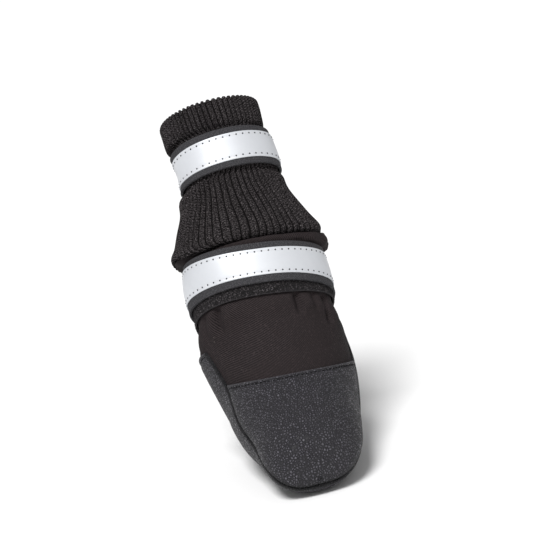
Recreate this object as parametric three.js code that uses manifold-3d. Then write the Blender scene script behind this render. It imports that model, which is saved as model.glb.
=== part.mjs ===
// A dog boot: softshell upper, grip cloth sole and toe cap, rib knit shaft and two taped straps.
// Millimetres, +Z up, toe towards -Y, origin on the flat of the sole. It fits either paw.
import * as THREE from "three";
import { mergeVertices } from "three/addons/utils/BufferGeometryUtils.js";
import Module from "manifold-3d";

// Foot: the outer face of the upper
const footLength = 88;
const ballWidth = 66;
const instepHeight = 79;
const instepSetback = 14.5;

// Shaft: the outer face of the knit and of the ankle
const shaftLean = THREE.MathUtils.degToRad(26);
const ringSlant = THREE.MathUtils.degToRad(8);
const ankleWidth = 63;
const ankleDepth = 46;
const cuffWidth = 44.5;
const cuffDepth = 34;
const shaftSway = 4;

// Lengths along the front of the shaft, from the instep up
const bandShow = 8;
const strapWidth = 19;
const knitLength = 36;
const rimHeight = 15.5;

// Walls and layers
const upperWall = 2.2;
const knitWall = 3;
const capWall = 1.2;
const soleProud = 0.6;
const bandWall = 1;
const strapWall = 1.4;
const tapeWall = 0.4;
const tapeWidth = 12;
const gap = 0.3;

// Seams and laps
const capHeight = 46.5;
const capSetback = -8;
const capSlope = THREE.MathUtils.degToRad(12);
const cupBelowBand = 5;
const jointLap = 4;
const bandLap = 2;
const tailStart = THREE.MathUtils.degToRad(100);
const tailEnd = THREE.MathUtils.degToRad(190);

// Mesh fineness
const ringColumns = 34;
const rowStep = 5;
const seamPoints = 22;
const probe = 0.02;
const tiny = 1e-6;

// Stations along the front line of the shaft
const strapLow = bandShow;
const strapHigh = strapLow + strapWidth;
const cuffLow = strapHigh + knitLength;
const cuffHigh = cuffLow + strapWidth;
const rimTop = cuffHigh + rimHeight;
const jointLine = strapHigh - jointLap;

// Foot sections, toe to instep. Front and back points in the side view are shares of the foot's
// length (y, with the toe at -0.5) and of the instep's height (z); half is a share of the ball's width,
// and base is how pointed the ring is under the paw: 1 is an ellipse, less is squarer.
const footSections = [
  { frontY: -0.5, frontZ: 0.108, backY: -0.5, backZ: 0.108, half: 0, base: 1 },
  { frontY: -0.503, frontZ: 0.171, backY: -0.491, backZ: 0.061, half: 0.141, base: 1 },
  { frontY: -0.492, frontZ: 0.241, backY: -0.4625, backZ: 0.019, half: 0.228, base: 1 },
  { frontY: -0.457, frontZ: 0.323, backY: -0.403, backZ: -0.004, half: 0.288, base: 1.04 },
  { frontY: -0.386, frontZ: 0.399, backY: -0.307, backZ: -0.015, half: 0.33, base: 1.1 },
  { frontY: -0.29, frontZ: 0.462, backY: -0.159, backZ: -0.023, half: 0.36, base: 1.12 },
  { frontY: -0.188, frontZ: 0.519, backY: 0, backZ: -0.025, half: 0.4, base: 1.12 },
  { frontY: -0.091, frontZ: 0.589, backY: 0.17, backZ: -0.025, half: 0.444, base: 1.12 },
  { frontY: 0.006, frontZ: 0.69, backY: 0.364, backZ: -0.013, half: 0.486, base: 1.1 },
  { frontY: 0.051, frontZ: 0.759, backY: 0.449, backZ: 0.044, half: 0.502, base: 1.02 },
  { frontY: 0.094, frontZ: 0.835, backY: 0.494, backZ: 0.152, half: 0.508, base: 0.98 },
  { frontY: 0.133, frontZ: 0.918, backY: 0.534, backZ: 0.304, half: 0.508, base: 0.95 },
];

// Shaft sections. The place is a share of one stretch between two stations; half widths and depths
// are shares of the ankle's or the cuff's own; turn is how much further the ring slopes to the heel.
const shaftSections = [
  { from: 0, to: strapLow, share: 0, width: 1.03, depth: 1.2, turn: 13, of: "ankle" },
  { from: 0, to: strapLow, share: 1, width: 0.99, depth: 1.08, turn: 7, of: "ankle" },
  { from: strapLow, to: strapHigh, share: 0.5, width: 0.985, depth: 1, turn: 3, of: "ankle" },
  { from: strapLow, to: strapHigh, share: 1, width: 0.99, depth: 1, turn: 0, of: "ankle" },
  { from: strapHigh, to: cuffLow, share: 0.11, width: 1.14, depth: 1.13, turn: 0, of: "ankle" },
  { from: strapHigh, to: cuffLow, share: 0.25, width: 1.08, depth: 1.09, turn: 0, of: "ankle" },
  { from: strapHigh, to: cuffLow, share: 0.5, width: 0.97, depth: 0.99, turn: 0, of: "ankle" },
  { from: strapHigh, to: cuffLow, share: 0.75, width: 1.19, depth: 1.2, turn: 0, of: "cuff" },
  { from: strapHigh, to: cuffLow, share: 0.94, width: 1.14, depth: 1.15, turn: 0, of: "cuff" },
  { from: cuffLow, to: cuffHigh, share: 0, width: 1.03, depth: 1.04, turn: 0, of: "cuff" },
  { from: cuffLow, to: cuffHigh, share: 0.5, width: 0.99, depth: 0.99, turn: 0, of: "cuff" },
  { from: cuffLow, to: cuffHigh, share: 1, width: 1.01, depth: 1.02, turn: 0, of: "cuff" },
  { from: cuffHigh, to: rimTop, share: 0.25, width: 1.05, depth: 1.08, turn: 0, of: "cuff" },
  { from: cuffHigh, to: rimTop, share: 0.65, width: 1.045, depth: 1.08, turn: 0, of: "cuff" },
  { from: cuffHigh, to: rimTop, share: 1, width: 1.04, depth: 1.06, turn: 0, of: "cuff" },
];

// Side seam in the side view, toe to the top of the heel cup: shares of foot length and instep height
const sideSeam = [
  { y: -0.6, z: 0.05 },
  { y: -0.48, z: 0.062 },
  { y: -0.39, z: 0.105 },
  { y: -0.27, z: 0.18 },
  { y: -0.15, z: 0.28 },
  { y: -0.02, z: 0.395 },
  { y: 0.09, z: 0.52 },
  { y: 0.19, z: 0.65 },
  { y: 0.245, z: 0.74 },
];

// The form: every section as its front and back points, a half width and a roundness

const crown = 0.96;
const shaftBase = 0.94;

const rings = [];

for (const row of footSections) {
  const front = new THREE.Vector2(row.frontY * footLength, row.frontZ * instepHeight);
  const back = new THREE.Vector2(row.backY * footLength, row.backZ * instepHeight);
  rings.push({ front, back, half: row.half * ballWidth, base: row.base, station: null });
}

for (const row of shaftSections) {
  const along = THREE.MathUtils.lerp(row.from, row.to, row.share);
  const slope = shaftLean + ringSlant + THREE.MathUtils.degToRad(row.turn);
  const width = row.of === "ankle" ? ankleWidth : cuffWidth;
  const depth = row.of === "ankle" ? ankleDepth : cuffDepth;
  const front = new THREE.Vector2(
    instepSetback + along * Math.sin(shaftLean),
    instepHeight + along * Math.cos(shaftLean),
  );
  const reach = new THREE.Vector2(Math.cos(slope), -Math.sin(slope)).multiplyScalar(depth * row.depth);
  const back = front.clone().add(reach);
  rings.push({ front, back, half: (width * row.width) / 2, base: shaftBase, station: along });
}

const firstShaftRing = footSections.length;
const lastRing = rings.length - 1;

// Smooth value between rings: a Catmull-Rom curve through four neighbours
function blend(a, b, c, d, t) {
  const lift = 0.5 * (c - a);
  const fall = 0.5 * (d - b);
  return b + t * (lift + t * (3 * (c - b) - 2 * lift - fall + t * (2 * (b - c) + lift + fall)));
}

function ringValue(place, read) {
  const index = Math.min(Math.floor(place), lastRing - 1);
  const at = (i) => read(rings[THREE.MathUtils.clamp(i, 0, lastRing)]);
  return blend(at(index - 1), at(index), at(index + 1), at(index + 2), place - index);
}

// Ring place of a station along the front of the shaft
function placeOf(station) {
  for (let i = firstShaftRing; i < lastRing; i += 1) {
    const low = rings[i].station;
    const high = rings[i + 1].station;
    if (station <= high) {
      return i + (station - low) / (high - low);
    }
  }
  return lastRing;
}

// A point of the form at a ring place and an angle: 0 in front, positive towards +X, PI behind
function formPoint(place, angle) {
  const frontY = ringValue(place, (ring) => ring.front.x);
  const frontZ = ringValue(place, (ring) => ring.front.y);
  const backY = ringValue(place, (ring) => ring.back.x);
  const backZ = ringValue(place, (ring) => ring.back.y);
  const half = ringValue(place, (ring) => ring.half);
  const towards = Math.cos(angle);
  const base = ringValue(place, (ring) => ring.base);
  const squareness = towards < 0 ? base : crown;
  const arm = Math.sign(towards) * Math.abs(towards) ** squareness;
  const side = Math.sign(Math.sin(angle)) * Math.abs(Math.sin(angle)) ** squareness;
  const rise = Math.max(0, (place - firstShaftRing) / (lastRing - firstShaftRing));
  return new THREE.Vector3(
    half * side - shaftSway * rise * rise,
    (frontY + backY) / 2 + (arm * (frontY - backY)) / 2,
    Math.max(soleProud, (frontZ + backZ) / 2 + (arm * (frontZ - backZ)) / 2),
  );
}

// The same point moved out along the form's normal; the flat under the paw moves straight down
function facePoint(place, angle, offset) {
  const point = formPoint(place, angle);
  if (place < tiny) {
    return point.add(new THREE.Vector3(0, -offset, 0));
  }
  if (point.z <= soleProud + tiny) {
    point.z = soleProud - offset;
    return point;
  }
  const round = formPoint(place, angle + probe).sub(formPoint(place, angle - probe));
  const up = formPoint(Math.min(place + probe, lastRing), angle).sub(
    formPoint(Math.max(place - probe, 0), angle),
  );
  const normal = round.cross(up).normalize();
  point.addScaledVector(normal, offset);
  point.z = Math.max(point.z, soleProud - Math.max(offset, 0));
  return point;
}

// Solids

function geometryOf(points, faces) {
  const geometry = new THREE.BufferGeometry();
  geometry.setAttribute("position", new THREE.Float32BufferAttribute(points, 3));
  geometry.setIndex(faces);
  const merged = mergeVertices(geometry, 1e-4);
  const kept = [];
  const index = merged.index.array;
  for (let i = 0; i < index.length; i += 3) {
    const [a, b, c] = index.slice(i, i + 3);
    if (a !== b && b !== c && c !== a) {
      kept.push(a, b, c);
    }
  }
  merged.setIndex(kept);
  return merged;
}

// A wall between two offsets of the form, through ring places and angles
function wall({ places, angles, inner, outer, closed = true }) {
  const count = places.length * 2;
  const points = [];
  for (const angle of angles) {
    for (const place of places) {
      points.push(...facePoint(place, angle, outer).toArray());
    }
    for (const place of [...places].reverse()) {
      points.push(...facePoint(place, angle, inner).toArray());
    }
  }
  const faces = [];
  const spans = closed ? angles.length : angles.length - 1;
  for (let j = 0; j < spans; j += 1) {
    const here = j * count;
    const next = ((j + 1) % angles.length) * count;
    for (let k = 0; k < count; k += 1) {
      const after = (k + 1) % count;
      faces.push(here + k, next + k, next + after);
      faces.push(here + k, next + after, here + after);
    }
  }
  if (!closed) {
    const last = (angles.length - 1) * count;
    for (let k = 0; k < places.length - 1; k += 1) {
      const partner = count - 1 - k;
      faces.push(k, k + 1, partner, k + 1, partner - 1, partner);
      faces.push(last + k, last + partner, last + k + 1);
      faces.push(last + k + 1, last + partner, last + partner - 1);
    }
  }
  return geometryOf(points, faces);
}

function spread(from, to, steps) {
  return Array.from({ length: steps + 1 }, (_, i) => THREE.MathUtils.lerp(from, to, i / steps));
}

const roundAngles = spread(0, 2 * Math.PI, ringColumns).slice(0, -1);
const columnAngle = (2 * Math.PI) / ringColumns;

function panelAngles(from, to) {
  return spread(from, to, Math.ceil((to - from) / columnAngle));
}

// Stations at which every wall of the shaft has a row, so that layered walls share their facets
const rowStations = [];
for (let i = firstShaftRing; i < lastRing; i += 1) {
  const low = rings[i].station;
  const high = rings[i + 1].station;
  const steps = Math.max(1, Math.round((high - low) / rowStep));
  rowStations.push(...spread(low, high, steps).slice(0, -1));
}

// Ring places of a wall between two stations: its two ends and the shared rows between them
function shaftPlaces(low, high) {
  const between = rowStations.filter((station) => station > low + gap && station < high - gap);
  return [low, ...between, high].map(placeOf);
}

// Ring places from the toe's pole to the instep, closer near the pole
function footPlaces() {
  const near = [0, 0.35, 0.9, 1.5, 2.1, 2.8, 3.5, 4.2];
  const far = spread(5, firstShaftRing, 9);
  return [...near, ...far];
}

const wasm = await Module();
wasm.setup();

function solidOf(geometry) {
  const bare = geometry.clone();
  bare.deleteAttribute("normal");
  bare.deleteAttribute("uv");
  const merged = mergeVertices(bare, 1e-4);
  return new wasm.Manifold(
    new wasm.Mesh({
      numProp: 3,
      vertProperties: new Float32Array(merged.attributes.position.array),
      triVerts: new Uint32Array(merged.index.array),
    }),
  );
}

function geometryFrom(solid) {
  const mesh = solid.getMesh();
  return geometryOf([...mesh.vertProperties], [...mesh.triVerts]);
}

// A side-view outline of [y, z] points, pulled right across the boot
function acrossBoot(outline) {
  const shape = new THREE.Shape(outline.map(([y, z]) => new THREE.Vector2(y, z)));
  const reach = ballWidth;
  const geometry = new THREE.ExtrudeGeometry(shape, { depth: 2 * reach, bevelEnabled: false });
  geometry.translate(0, 0, -reach);
  const across = new THREE.Matrix4().makeBasis(
    new THREE.Vector3(0, 1, 0),
    new THREE.Vector3(0, 0, 1),
    new THREE.Vector3(1, 0, 0),
  );
  return solidOf(geometry.applyMatrix4(across));
}

// The side seam moved off its line, positive towards the instep
function seamLine(offset) {
  const rows = sideSeam.map((row) => new THREE.Vector2(row.y * footLength, row.z * instepHeight));
  const curve = new THREE.SplineCurve(rows);
  return spread(0, 1, seamPoints).map((t) => {
    const along = curve.getTangent(t);
    const point = curve.getPoint(t);
    return [point.x - along.y * offset, point.y + along.x * offset];
  });
}

const farBack = footLength;
const farBelow = -instepHeight / 4;

// Everything under the side seam and under the heel cup's edge, which slopes to below the band
function soleRegion(offset) {
  const seam = seamLine(offset);
  const [topY, topZ] = seam[seam.length - 1];
  const heel = rings[firstShaftRing].back;
  const fall = (topZ - (heel.y - cupBelowBand)) / (heel.x - topY);
  const lift = offset * Math.hypot(1, fall);
  return acrossBoot([
    [seam[0][0], farBelow],
    [farBack, farBelow],
    [farBack, topZ - fall * (farBack - topY) + lift],
    [topY, topZ + lift],
    ...seam.slice(0, -1).reverse(),
  ]);
}

// Everything between the side seam and the straight top line of the toe cap
function capRegion() {
  const seam = seamLine(gap / 2);
  const farFront = -footLength;
  const lineAt = (y) => capHeight - (y - capSetback) * Math.tan(capSlope);
  const under = seam.filter(([y, z]) => z < lineAt(y));
  const [lastY] = under[under.length - 1];
  return acrossBoot([[farFront, under[0][1]], ...under, [lastY, lineAt(lastY)], [farFront, lineAt(farFront)]]);
}

function makeSole() {
  const places = [...footPlaces(), ...shaftPlaces(0, strapLow).slice(1)];
  const whole = solidOf(wall({ places, angles: roundAngles, inner: -upperWall, outer: soleProud }));
  return geometryFrom(whole.intersect(soleRegion(-gap / 2)));
}

function makeUpper() {
  const places = [...footPlaces(), ...shaftPlaces(0, jointLine).slice(1)];
  const whole = solidOf(wall({ places, angles: roundAngles, inner: -upperWall, outer: 0 }));
  return geometryFrom(whole.subtract(soleRegion(gap / 2)));
}

function makeToeCap() {
  const places = footPlaces();
  const whole = solidOf(wall({ places, angles: roundAngles, inner: gap, outer: gap + capWall }));
  return geometryFrom(whole.intersect(capRegion()));
}

function makeRibCuff() {
  const places = shaftPlaces(jointLine + gap, rimTop);
  return wall({ places, angles: roundAngles, inner: -knitWall, outer: 0 });
}

// Straps, tapes and tails stand on each other by the layers' own walls

function makeStrap(low, under) {
  const places = shaftPlaces(low, low + strapWidth);
  return wall({ places, angles: roundAngles, inner: under, outer: under + strapWall });
}

function makeTape(low, under) {
  const edge = (strapWidth - tapeWidth) / 2;
  const places = shaftPlaces(low + edge, low + edge + tapeWidth);
  const end = gap / (cuffDepth / 2);
  const angles = panelAngles(tailEnd + end - 2 * Math.PI, tailStart - end);
  return wall({ places, angles, inner: under, outer: under + tapeWall, closed: false });
}

function makeTail(low, under) {
  const places = shaftPlaces(low, low + strapWidth);
  const angles = panelAngles(tailStart, tailEnd);
  return wall({ places, angles, inner: under, outer: under + strapWall, closed: false });
}

function makeBand() {
  const places = shaftPlaces(0, strapHigh - bandLap);
  return wall({ places, angles: roundAngles, inner: gap, outer: gap + bandWall });
}

const ankleUnder = gap + bandWall + gap;
const ankleOver = ankleUnder + strapWall + gap;
const cuffUnder = gap;
const cuffOver = cuffUnder + strapWall + gap;

const softshell = new THREE.MeshStandardMaterial({ color: 0x1d1a18, roughness: 0.85, metalness: 0 });
const gripCloth = new THREE.MeshStandardMaterial({ color: 0x2c2c2e, roughness: 0.8, metalness: 0 });
const ribKnit = new THREE.MeshStandardMaterial({ color: 0x2b2724, roughness: 0.95, metalness: 0 });
const webbing = new THREE.MeshStandardMaterial({ color: 0x3b3b3f, roughness: 0.85, metalness: 0 });
const tapeSilver = new THREE.MeshStandardMaterial({ color: 0xb9babc, roughness: 0.45, metalness: 0.2 });
const loopPile = new THREE.MeshStandardMaterial({ color: 0x131313, roughness: 1, metalness: 0 });

function piece(name, geometry, material) {
  geometry.computeVertexNormals();
  const mesh = new THREE.Mesh(geometry, material);
  mesh.name = name;
  return mesh;
}

const boot = new THREE.Group();
boot.name = "dog_boot";
boot.add(
  piece("sole", makeSole(), gripCloth),
  piece("upper", makeUpper(), softshell),
  piece("toe_cap", makeToeCap(), gripCloth.clone()),
  piece("rib_cuff", makeRibCuff(), ribKnit),
  piece("ankle_loop_band", makeBand(), loopPile),
  piece("ankle_strap", makeStrap(strapLow, ankleUnder), webbing),
  piece("ankle_tape", makeTape(strapLow, ankleOver), tapeSilver),
  piece("ankle_strap_tail", makeTail(strapLow, ankleOver), webbing.clone()),
  piece("cuff_strap", makeStrap(cuffLow, cuffUnder), webbing.clone()),
  piece("cuff_tape", makeTape(cuffLow, cuffOver), tapeSilver.clone()),
  piece("cuff_strap_tail", makeTail(cuffLow, cuffOver), webbing.clone()),
);

export default boot;
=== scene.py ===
"""Looks of a dog boot: softshell, grip cloth, rib knit and two taped straps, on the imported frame."""
import logging
import math
from dataclasses import dataclass, field
from enum import Enum

import bpy
import numpy as np
from mathutils import Matrix, Vector


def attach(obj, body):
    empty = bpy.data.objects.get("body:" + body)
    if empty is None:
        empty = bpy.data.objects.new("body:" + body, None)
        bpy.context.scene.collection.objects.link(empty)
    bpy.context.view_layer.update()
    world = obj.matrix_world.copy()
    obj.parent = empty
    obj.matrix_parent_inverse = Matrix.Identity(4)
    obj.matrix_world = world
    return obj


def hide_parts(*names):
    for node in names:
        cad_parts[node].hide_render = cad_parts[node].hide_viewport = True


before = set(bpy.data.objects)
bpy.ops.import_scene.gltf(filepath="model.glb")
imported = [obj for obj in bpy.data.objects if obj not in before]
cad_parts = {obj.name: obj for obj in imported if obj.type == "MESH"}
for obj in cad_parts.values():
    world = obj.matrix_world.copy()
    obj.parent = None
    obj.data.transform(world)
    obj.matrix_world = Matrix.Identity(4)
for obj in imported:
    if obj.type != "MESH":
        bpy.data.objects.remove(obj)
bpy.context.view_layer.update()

log = logging.getLogger("dog_boot")

MM = 0.001
Color = tuple[float, float, float]
Socket = bpy.types.NodeSocket


# Small helpers for numbers


def smooth_step(low: float, high: float, value: np.ndarray) -> np.ndarray:
    """Ease from 0 to 1 between two limits.

    Args:
        low: the limit at which the result is 0.
        high: the limit at which the result is 1.
        value: the numbers to ease.

    Returns:
        Numbers between 0 and 1, of the shape of value.
    """
    share = np.clip((value - low) / (high - low), 0.0, 1.0)
    return share * share * (3.0 - 2.0 * share)


def bell(value: np.ndarray, centre: float, width: float) -> np.ndarray:
    """Give a soft bump around a centre.

    Args:
        value: the numbers to weigh.
        centre: where the bump is highest.
        width: the distance at which it has fallen to about a third.

    Returns:
        Weights between 0 and 1, of the shape of value.
    """
    return np.exp(-(((value - centre) / width) ** 2))


def rolled_edge(distance: np.ndarray, radius: float) -> np.ndarray:
    """Give the height of an edge that rolls down in a quarter circle.

    Args:
        distance: distances from the edge, in mm.
        radius: how far in the roll reaches, in mm.

    Returns:
        0 at the edge, rising to 1 at the radius and beyond.
    """
    share = 1.0 - np.clip(distance / radius, 0.0, 1.0)
    return np.sqrt(np.maximum(0.0, 1.0 - share * share))


def nearest_on_line(points: np.ndarray, line: np.ndarray) -> tuple[np.ndarray, np.ndarray]:
    """Find the corner of a dense line that is nearest to each point.

    Args:
        points: positions, last axis x, y and z in mm.
        line: the corners of the line, in mm.

    Returns:
        The distances to those corners in mm, and the corners' numbers.
    """
    flat = points.reshape(-1, 3)
    distance = np.empty(len(flat))
    number = np.empty(len(flat), dtype=int)
    for start in range(0, len(flat), 4000):
        block = slice(start, start + 4000)
        gaps = np.sqrt(((flat[block, None, :] - line[None, :, :]) ** 2).sum(axis=2))
        distance[block] = gaps.min(axis=1)
        number[block] = gaps.argmin(axis=1)
    return distance.reshape(points.shape[:-1]), number.reshape(points.shape[:-1])


def arc_lengths(points: np.ndarray, axis: int = 0) -> np.ndarray:
    """Add up the lengths between neighbouring points along one axis.

    Args:
        points: positions, last axis x, y and z.
        axis: the axis to walk along.

    Returns:
        The length walked at each point, 0 at the first.
    """
    steps = np.linalg.norm(np.diff(points, axis=axis), axis=-1)
    start = np.zeros_like(np.take(steps, [0], axis=axis))
    return np.concatenate([start, np.cumsum(steps, axis=axis)], axis=axis)


def chart_over(across: np.ndarray, along: np.ndarray) -> np.ndarray:
    """Lay a pattern chart over a grid of cloth.

    Args:
        across: the columns' places on the chart.
        along: the rows' places on the chart.

    Returns:
        Rows by columns of chart places.
    """
    return np.stack(np.broadcast_arrays(across[None, :], along[:, None]), axis=-1)


def close_section(points: np.ndarray, whole: bool = True) -> np.ndarray:
    """Close a wall's cross-section, and its ends where it goes all round.

    Args:
        points: rows round the cross-section by columns along the wall.
        whole: True where the last column lies on the first.

    Returns:
        The closed grid.
    """
    closed = np.concatenate([points, points[:1]])
    if whole:
        closed[:, -1] = closed[:, 0]
    return closed


@dataclass(frozen=True)
class Bump:
    """A soft hump: its height, where it is highest and how wide it is."""

    height: float
    middle: float
    width: float

    def at(self, value: np.ndarray) -> np.ndarray:
        """Give the hump's height at values."""
        return self.height * bell(value, self.middle, self.width)


@dataclass(frozen=True)
class Step:
    """An eased step: its height, and where it starts and is full."""

    height: float
    start: float
    full: float

    def at(self, value: np.ndarray) -> np.ndarray:
        """Give the step's height at values."""
        return self.height * smooth_step(self.start, self.full, value)


@dataclass(frozen=True)
class Span:
    """A stretch with eased ends: where it starts, is full, starts to fade and ends."""

    start: float
    full: float
    fade: float
    end: float

    def at(self, value: np.ndarray) -> np.ndarray:
        """Give 1 inside the stretch and 0 outside it."""
        return smooth_step(self.start, self.full, value) * (1.0 - smooth_step(self.fade, self.end, value))


# The form that all layers of the boot follow


class Site(Enum):
    """The two narrow places that the shaft's rings and the straps belong to."""

    ANKLE = "ankle"
    CUFF = "cuff"


@dataclass(frozen=True)
class FootRing:
    """One ring of the foot in shares of foot length, instep height and ball width."""

    front_y: float
    front_z: float
    back_y: float
    back_z: float
    half: float
    base: float


@dataclass(frozen=True)
class ShaftRing:
    """One ring of the shaft: its station in mm, shares of its site's sizes and extra slope in degrees."""

    station: float
    width: float
    depth: float
    turn: float
    of: Site


FOOT_RINGS = (
    FootRing(-0.5, 0.108, -0.5, 0.108, 0.0, 1.0),
    FootRing(-0.503, 0.171, -0.491, 0.061, 0.141, 1.0),
    FootRing(-0.492, 0.241, -0.4625, 0.019, 0.228, 1.0),
    FootRing(-0.457, 0.323, -0.403, -0.004, 0.288, 1.04),
    FootRing(-0.386, 0.399, -0.307, -0.015, 0.33, 1.1),
    FootRing(-0.29, 0.462, -0.159, -0.023, 0.36, 1.12),
    FootRing(-0.188, 0.519, 0.0, -0.025, 0.4, 1.12),
    FootRing(-0.091, 0.589, 0.17, -0.025, 0.444, 1.12),
    FootRing(0.006, 0.69, 0.364, -0.013, 0.486, 1.1),
    FootRing(0.051, 0.759, 0.449, 0.044, 0.502, 1.02),
    FootRing(0.094, 0.835, 0.494, 0.152, 0.508, 0.98),
    FootRing(0.133, 0.918, 0.534, 0.304, 0.508, 0.95),
)

SHAFT_RINGS = (
    ShaftRing(0.0, 1.03, 1.2, 13.0, Site.ANKLE),
    ShaftRing(8.0, 0.99, 1.08, 7.0, Site.ANKLE),
    ShaftRing(17.5, 0.985, 1.0, 3.0, Site.ANKLE),
    ShaftRing(27.0, 0.99, 1.0, 0.0, Site.ANKLE),
    ShaftRing(30.96, 1.14, 1.13, 0.0, Site.ANKLE),
    ShaftRing(36.0, 1.08, 1.09, 0.0, Site.ANKLE),
    ShaftRing(45.0, 0.97, 0.99, 0.0, Site.ANKLE),
    ShaftRing(54.0, 1.19, 1.2, 0.0, Site.CUFF),
    ShaftRing(60.84, 1.14, 1.15, 0.0, Site.CUFF),
    ShaftRing(63.0, 1.03, 1.04, 0.0, Site.CUFF),
    ShaftRing(72.5, 0.99, 0.99, 0.0, Site.CUFF),
    ShaftRing(82.0, 1.01, 1.02, 0.0, Site.CUFF),
    ShaftRing(85.875, 1.05, 1.08, 0.0, Site.CUFF),
    ShaftRing(92.075, 1.045, 1.08, 0.0, Site.CUFF),
    ShaftRing(97.5, 1.04, 1.06, 0.0, Site.CUFF),
)

SEAM_SHARES = (
    (-0.6, 0.05),
    (-0.48, 0.062),
    (-0.39, 0.105),
    (-0.27, 0.18),
    (-0.15, 0.28),
    (-0.02, 0.395),
    (0.09, 0.52),
    (0.19, 0.65),
    (0.245, 0.74),
)


def blend_rows(table: np.ndarray, place: np.ndarray) -> np.ndarray:
    """Read a table between its rows on a Catmull-Rom curve.

    Args:
        table: one row of values for each ring.
        place: ring places, whole numbers on the rows.

    Returns:
        One row of values for each place.
    """
    last = len(table) - 1
    index = np.clip(np.floor(place).astype(int), 0, last - 1)
    share = (place - index)[..., None]
    a, b, c, d = (table[np.clip(index + step, 0, last)] for step in (-1, 0, 1, 2))
    lift = 0.5 * (c - a)
    fall = 0.5 * (d - b)
    cubic = 2.0 * (b - c) + lift + fall
    square = 3.0 * (c - b) - 2.0 * lift - fall
    return b + share * (lift + share * (square + share * cubic))


@dataclass(frozen=True)
class Slack:
    """How the soft, empty boot hangs off its true form: mm by ring place, the draws in shares."""

    left_draw: Bump = Bump(0.15, 8.7, 1.9)
    right_draw: Bump = Bump(0.04, 6.2, 1.4)
    toe_springs: tuple[Bump, ...] = (Bump(0.6, 3.3, 1.3), Bump(1.5, 2.6, 1.9))
    toe_end: Step = Step(1.0, 1.8, 6.0)
    toe_swing: float = 3.4
    right_toe_swing: float = 1.2
    ankle: Span = Span(9.3, 12.3, 15.5, 19.0)
    front_sag: float = 2.0
    right_sag: float = 3.6
    left_sag: float = 4.0
    rim: Step = Step(1.0, 22.8, 25.6)
    rim_rise: float = 0.7
    rim_tilt: float = 1.0
    rim_swing: float = 0.6
    right_rim_swing: float = 2.2
    collar_swing: Bump = Bump(2.4, 21.9, 1.5)
    right_bulge: Bump = Bump(2.3, 17.0, 0.9)
    left_bulges: tuple[Bump, ...] = (Bump(2.9, 15.3, 0.9), Bump(-1.4, 11.4, 0.7))

    def draw_in(self, place: np.ndarray, across: np.ndarray) -> np.ndarray:
        """Give the share of its half width that a ring loses."""
        return np.where(across < 0.0, self.left_draw.at(place), self.right_draw.at(place))

    def spring(self, place: np.ndarray, towards: np.ndarray) -> np.ndarray:
        """Give how far the underside of the toe is lifted, in mm."""
        return sum(bump.at(place) for bump in self.toe_springs) * np.maximum(0.0, -towards)

    def hang(self, place: np.ndarray, towards: np.ndarray,
             across: np.ndarray) -> tuple[np.ndarray, np.ndarray]:
        """Work out how far the cloth swings and sags.

        Args:
            place: ring places.
            towards: the angles' cosines, 1 in front.
            across: the angles' sines, 1 at +X.

        Returns:
            How far points move to +X and up along the shaft, in mm.
        """
        right = np.maximum(0.0, across)
        left = np.maximum(0.0, -across)
        side_sag = np.where(across > 0.0, self.right_sag, self.left_sag)
        rim = self.rim.at(place)
        toe = 1.0 - self.toe_end.at(place)
        lift = self.ankle.at(place) * (-self.front_sag * np.maximum(0.0, towards) - side_sag * across)
        lift = lift + rim * (self.rim_rise + self.rim_tilt * across)
        shift = rim * (self.rim_swing + self.right_rim_swing * right) + self.collar_swing.at(place)
        shift = shift - toe * (self.toe_swing + self.right_toe_swing * right)
        shift = shift + right * self.right_bulge.at(place)
        shift = shift + left * sum(bump.at(place) for bump in self.left_bulges)
        return shift, lift


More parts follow.
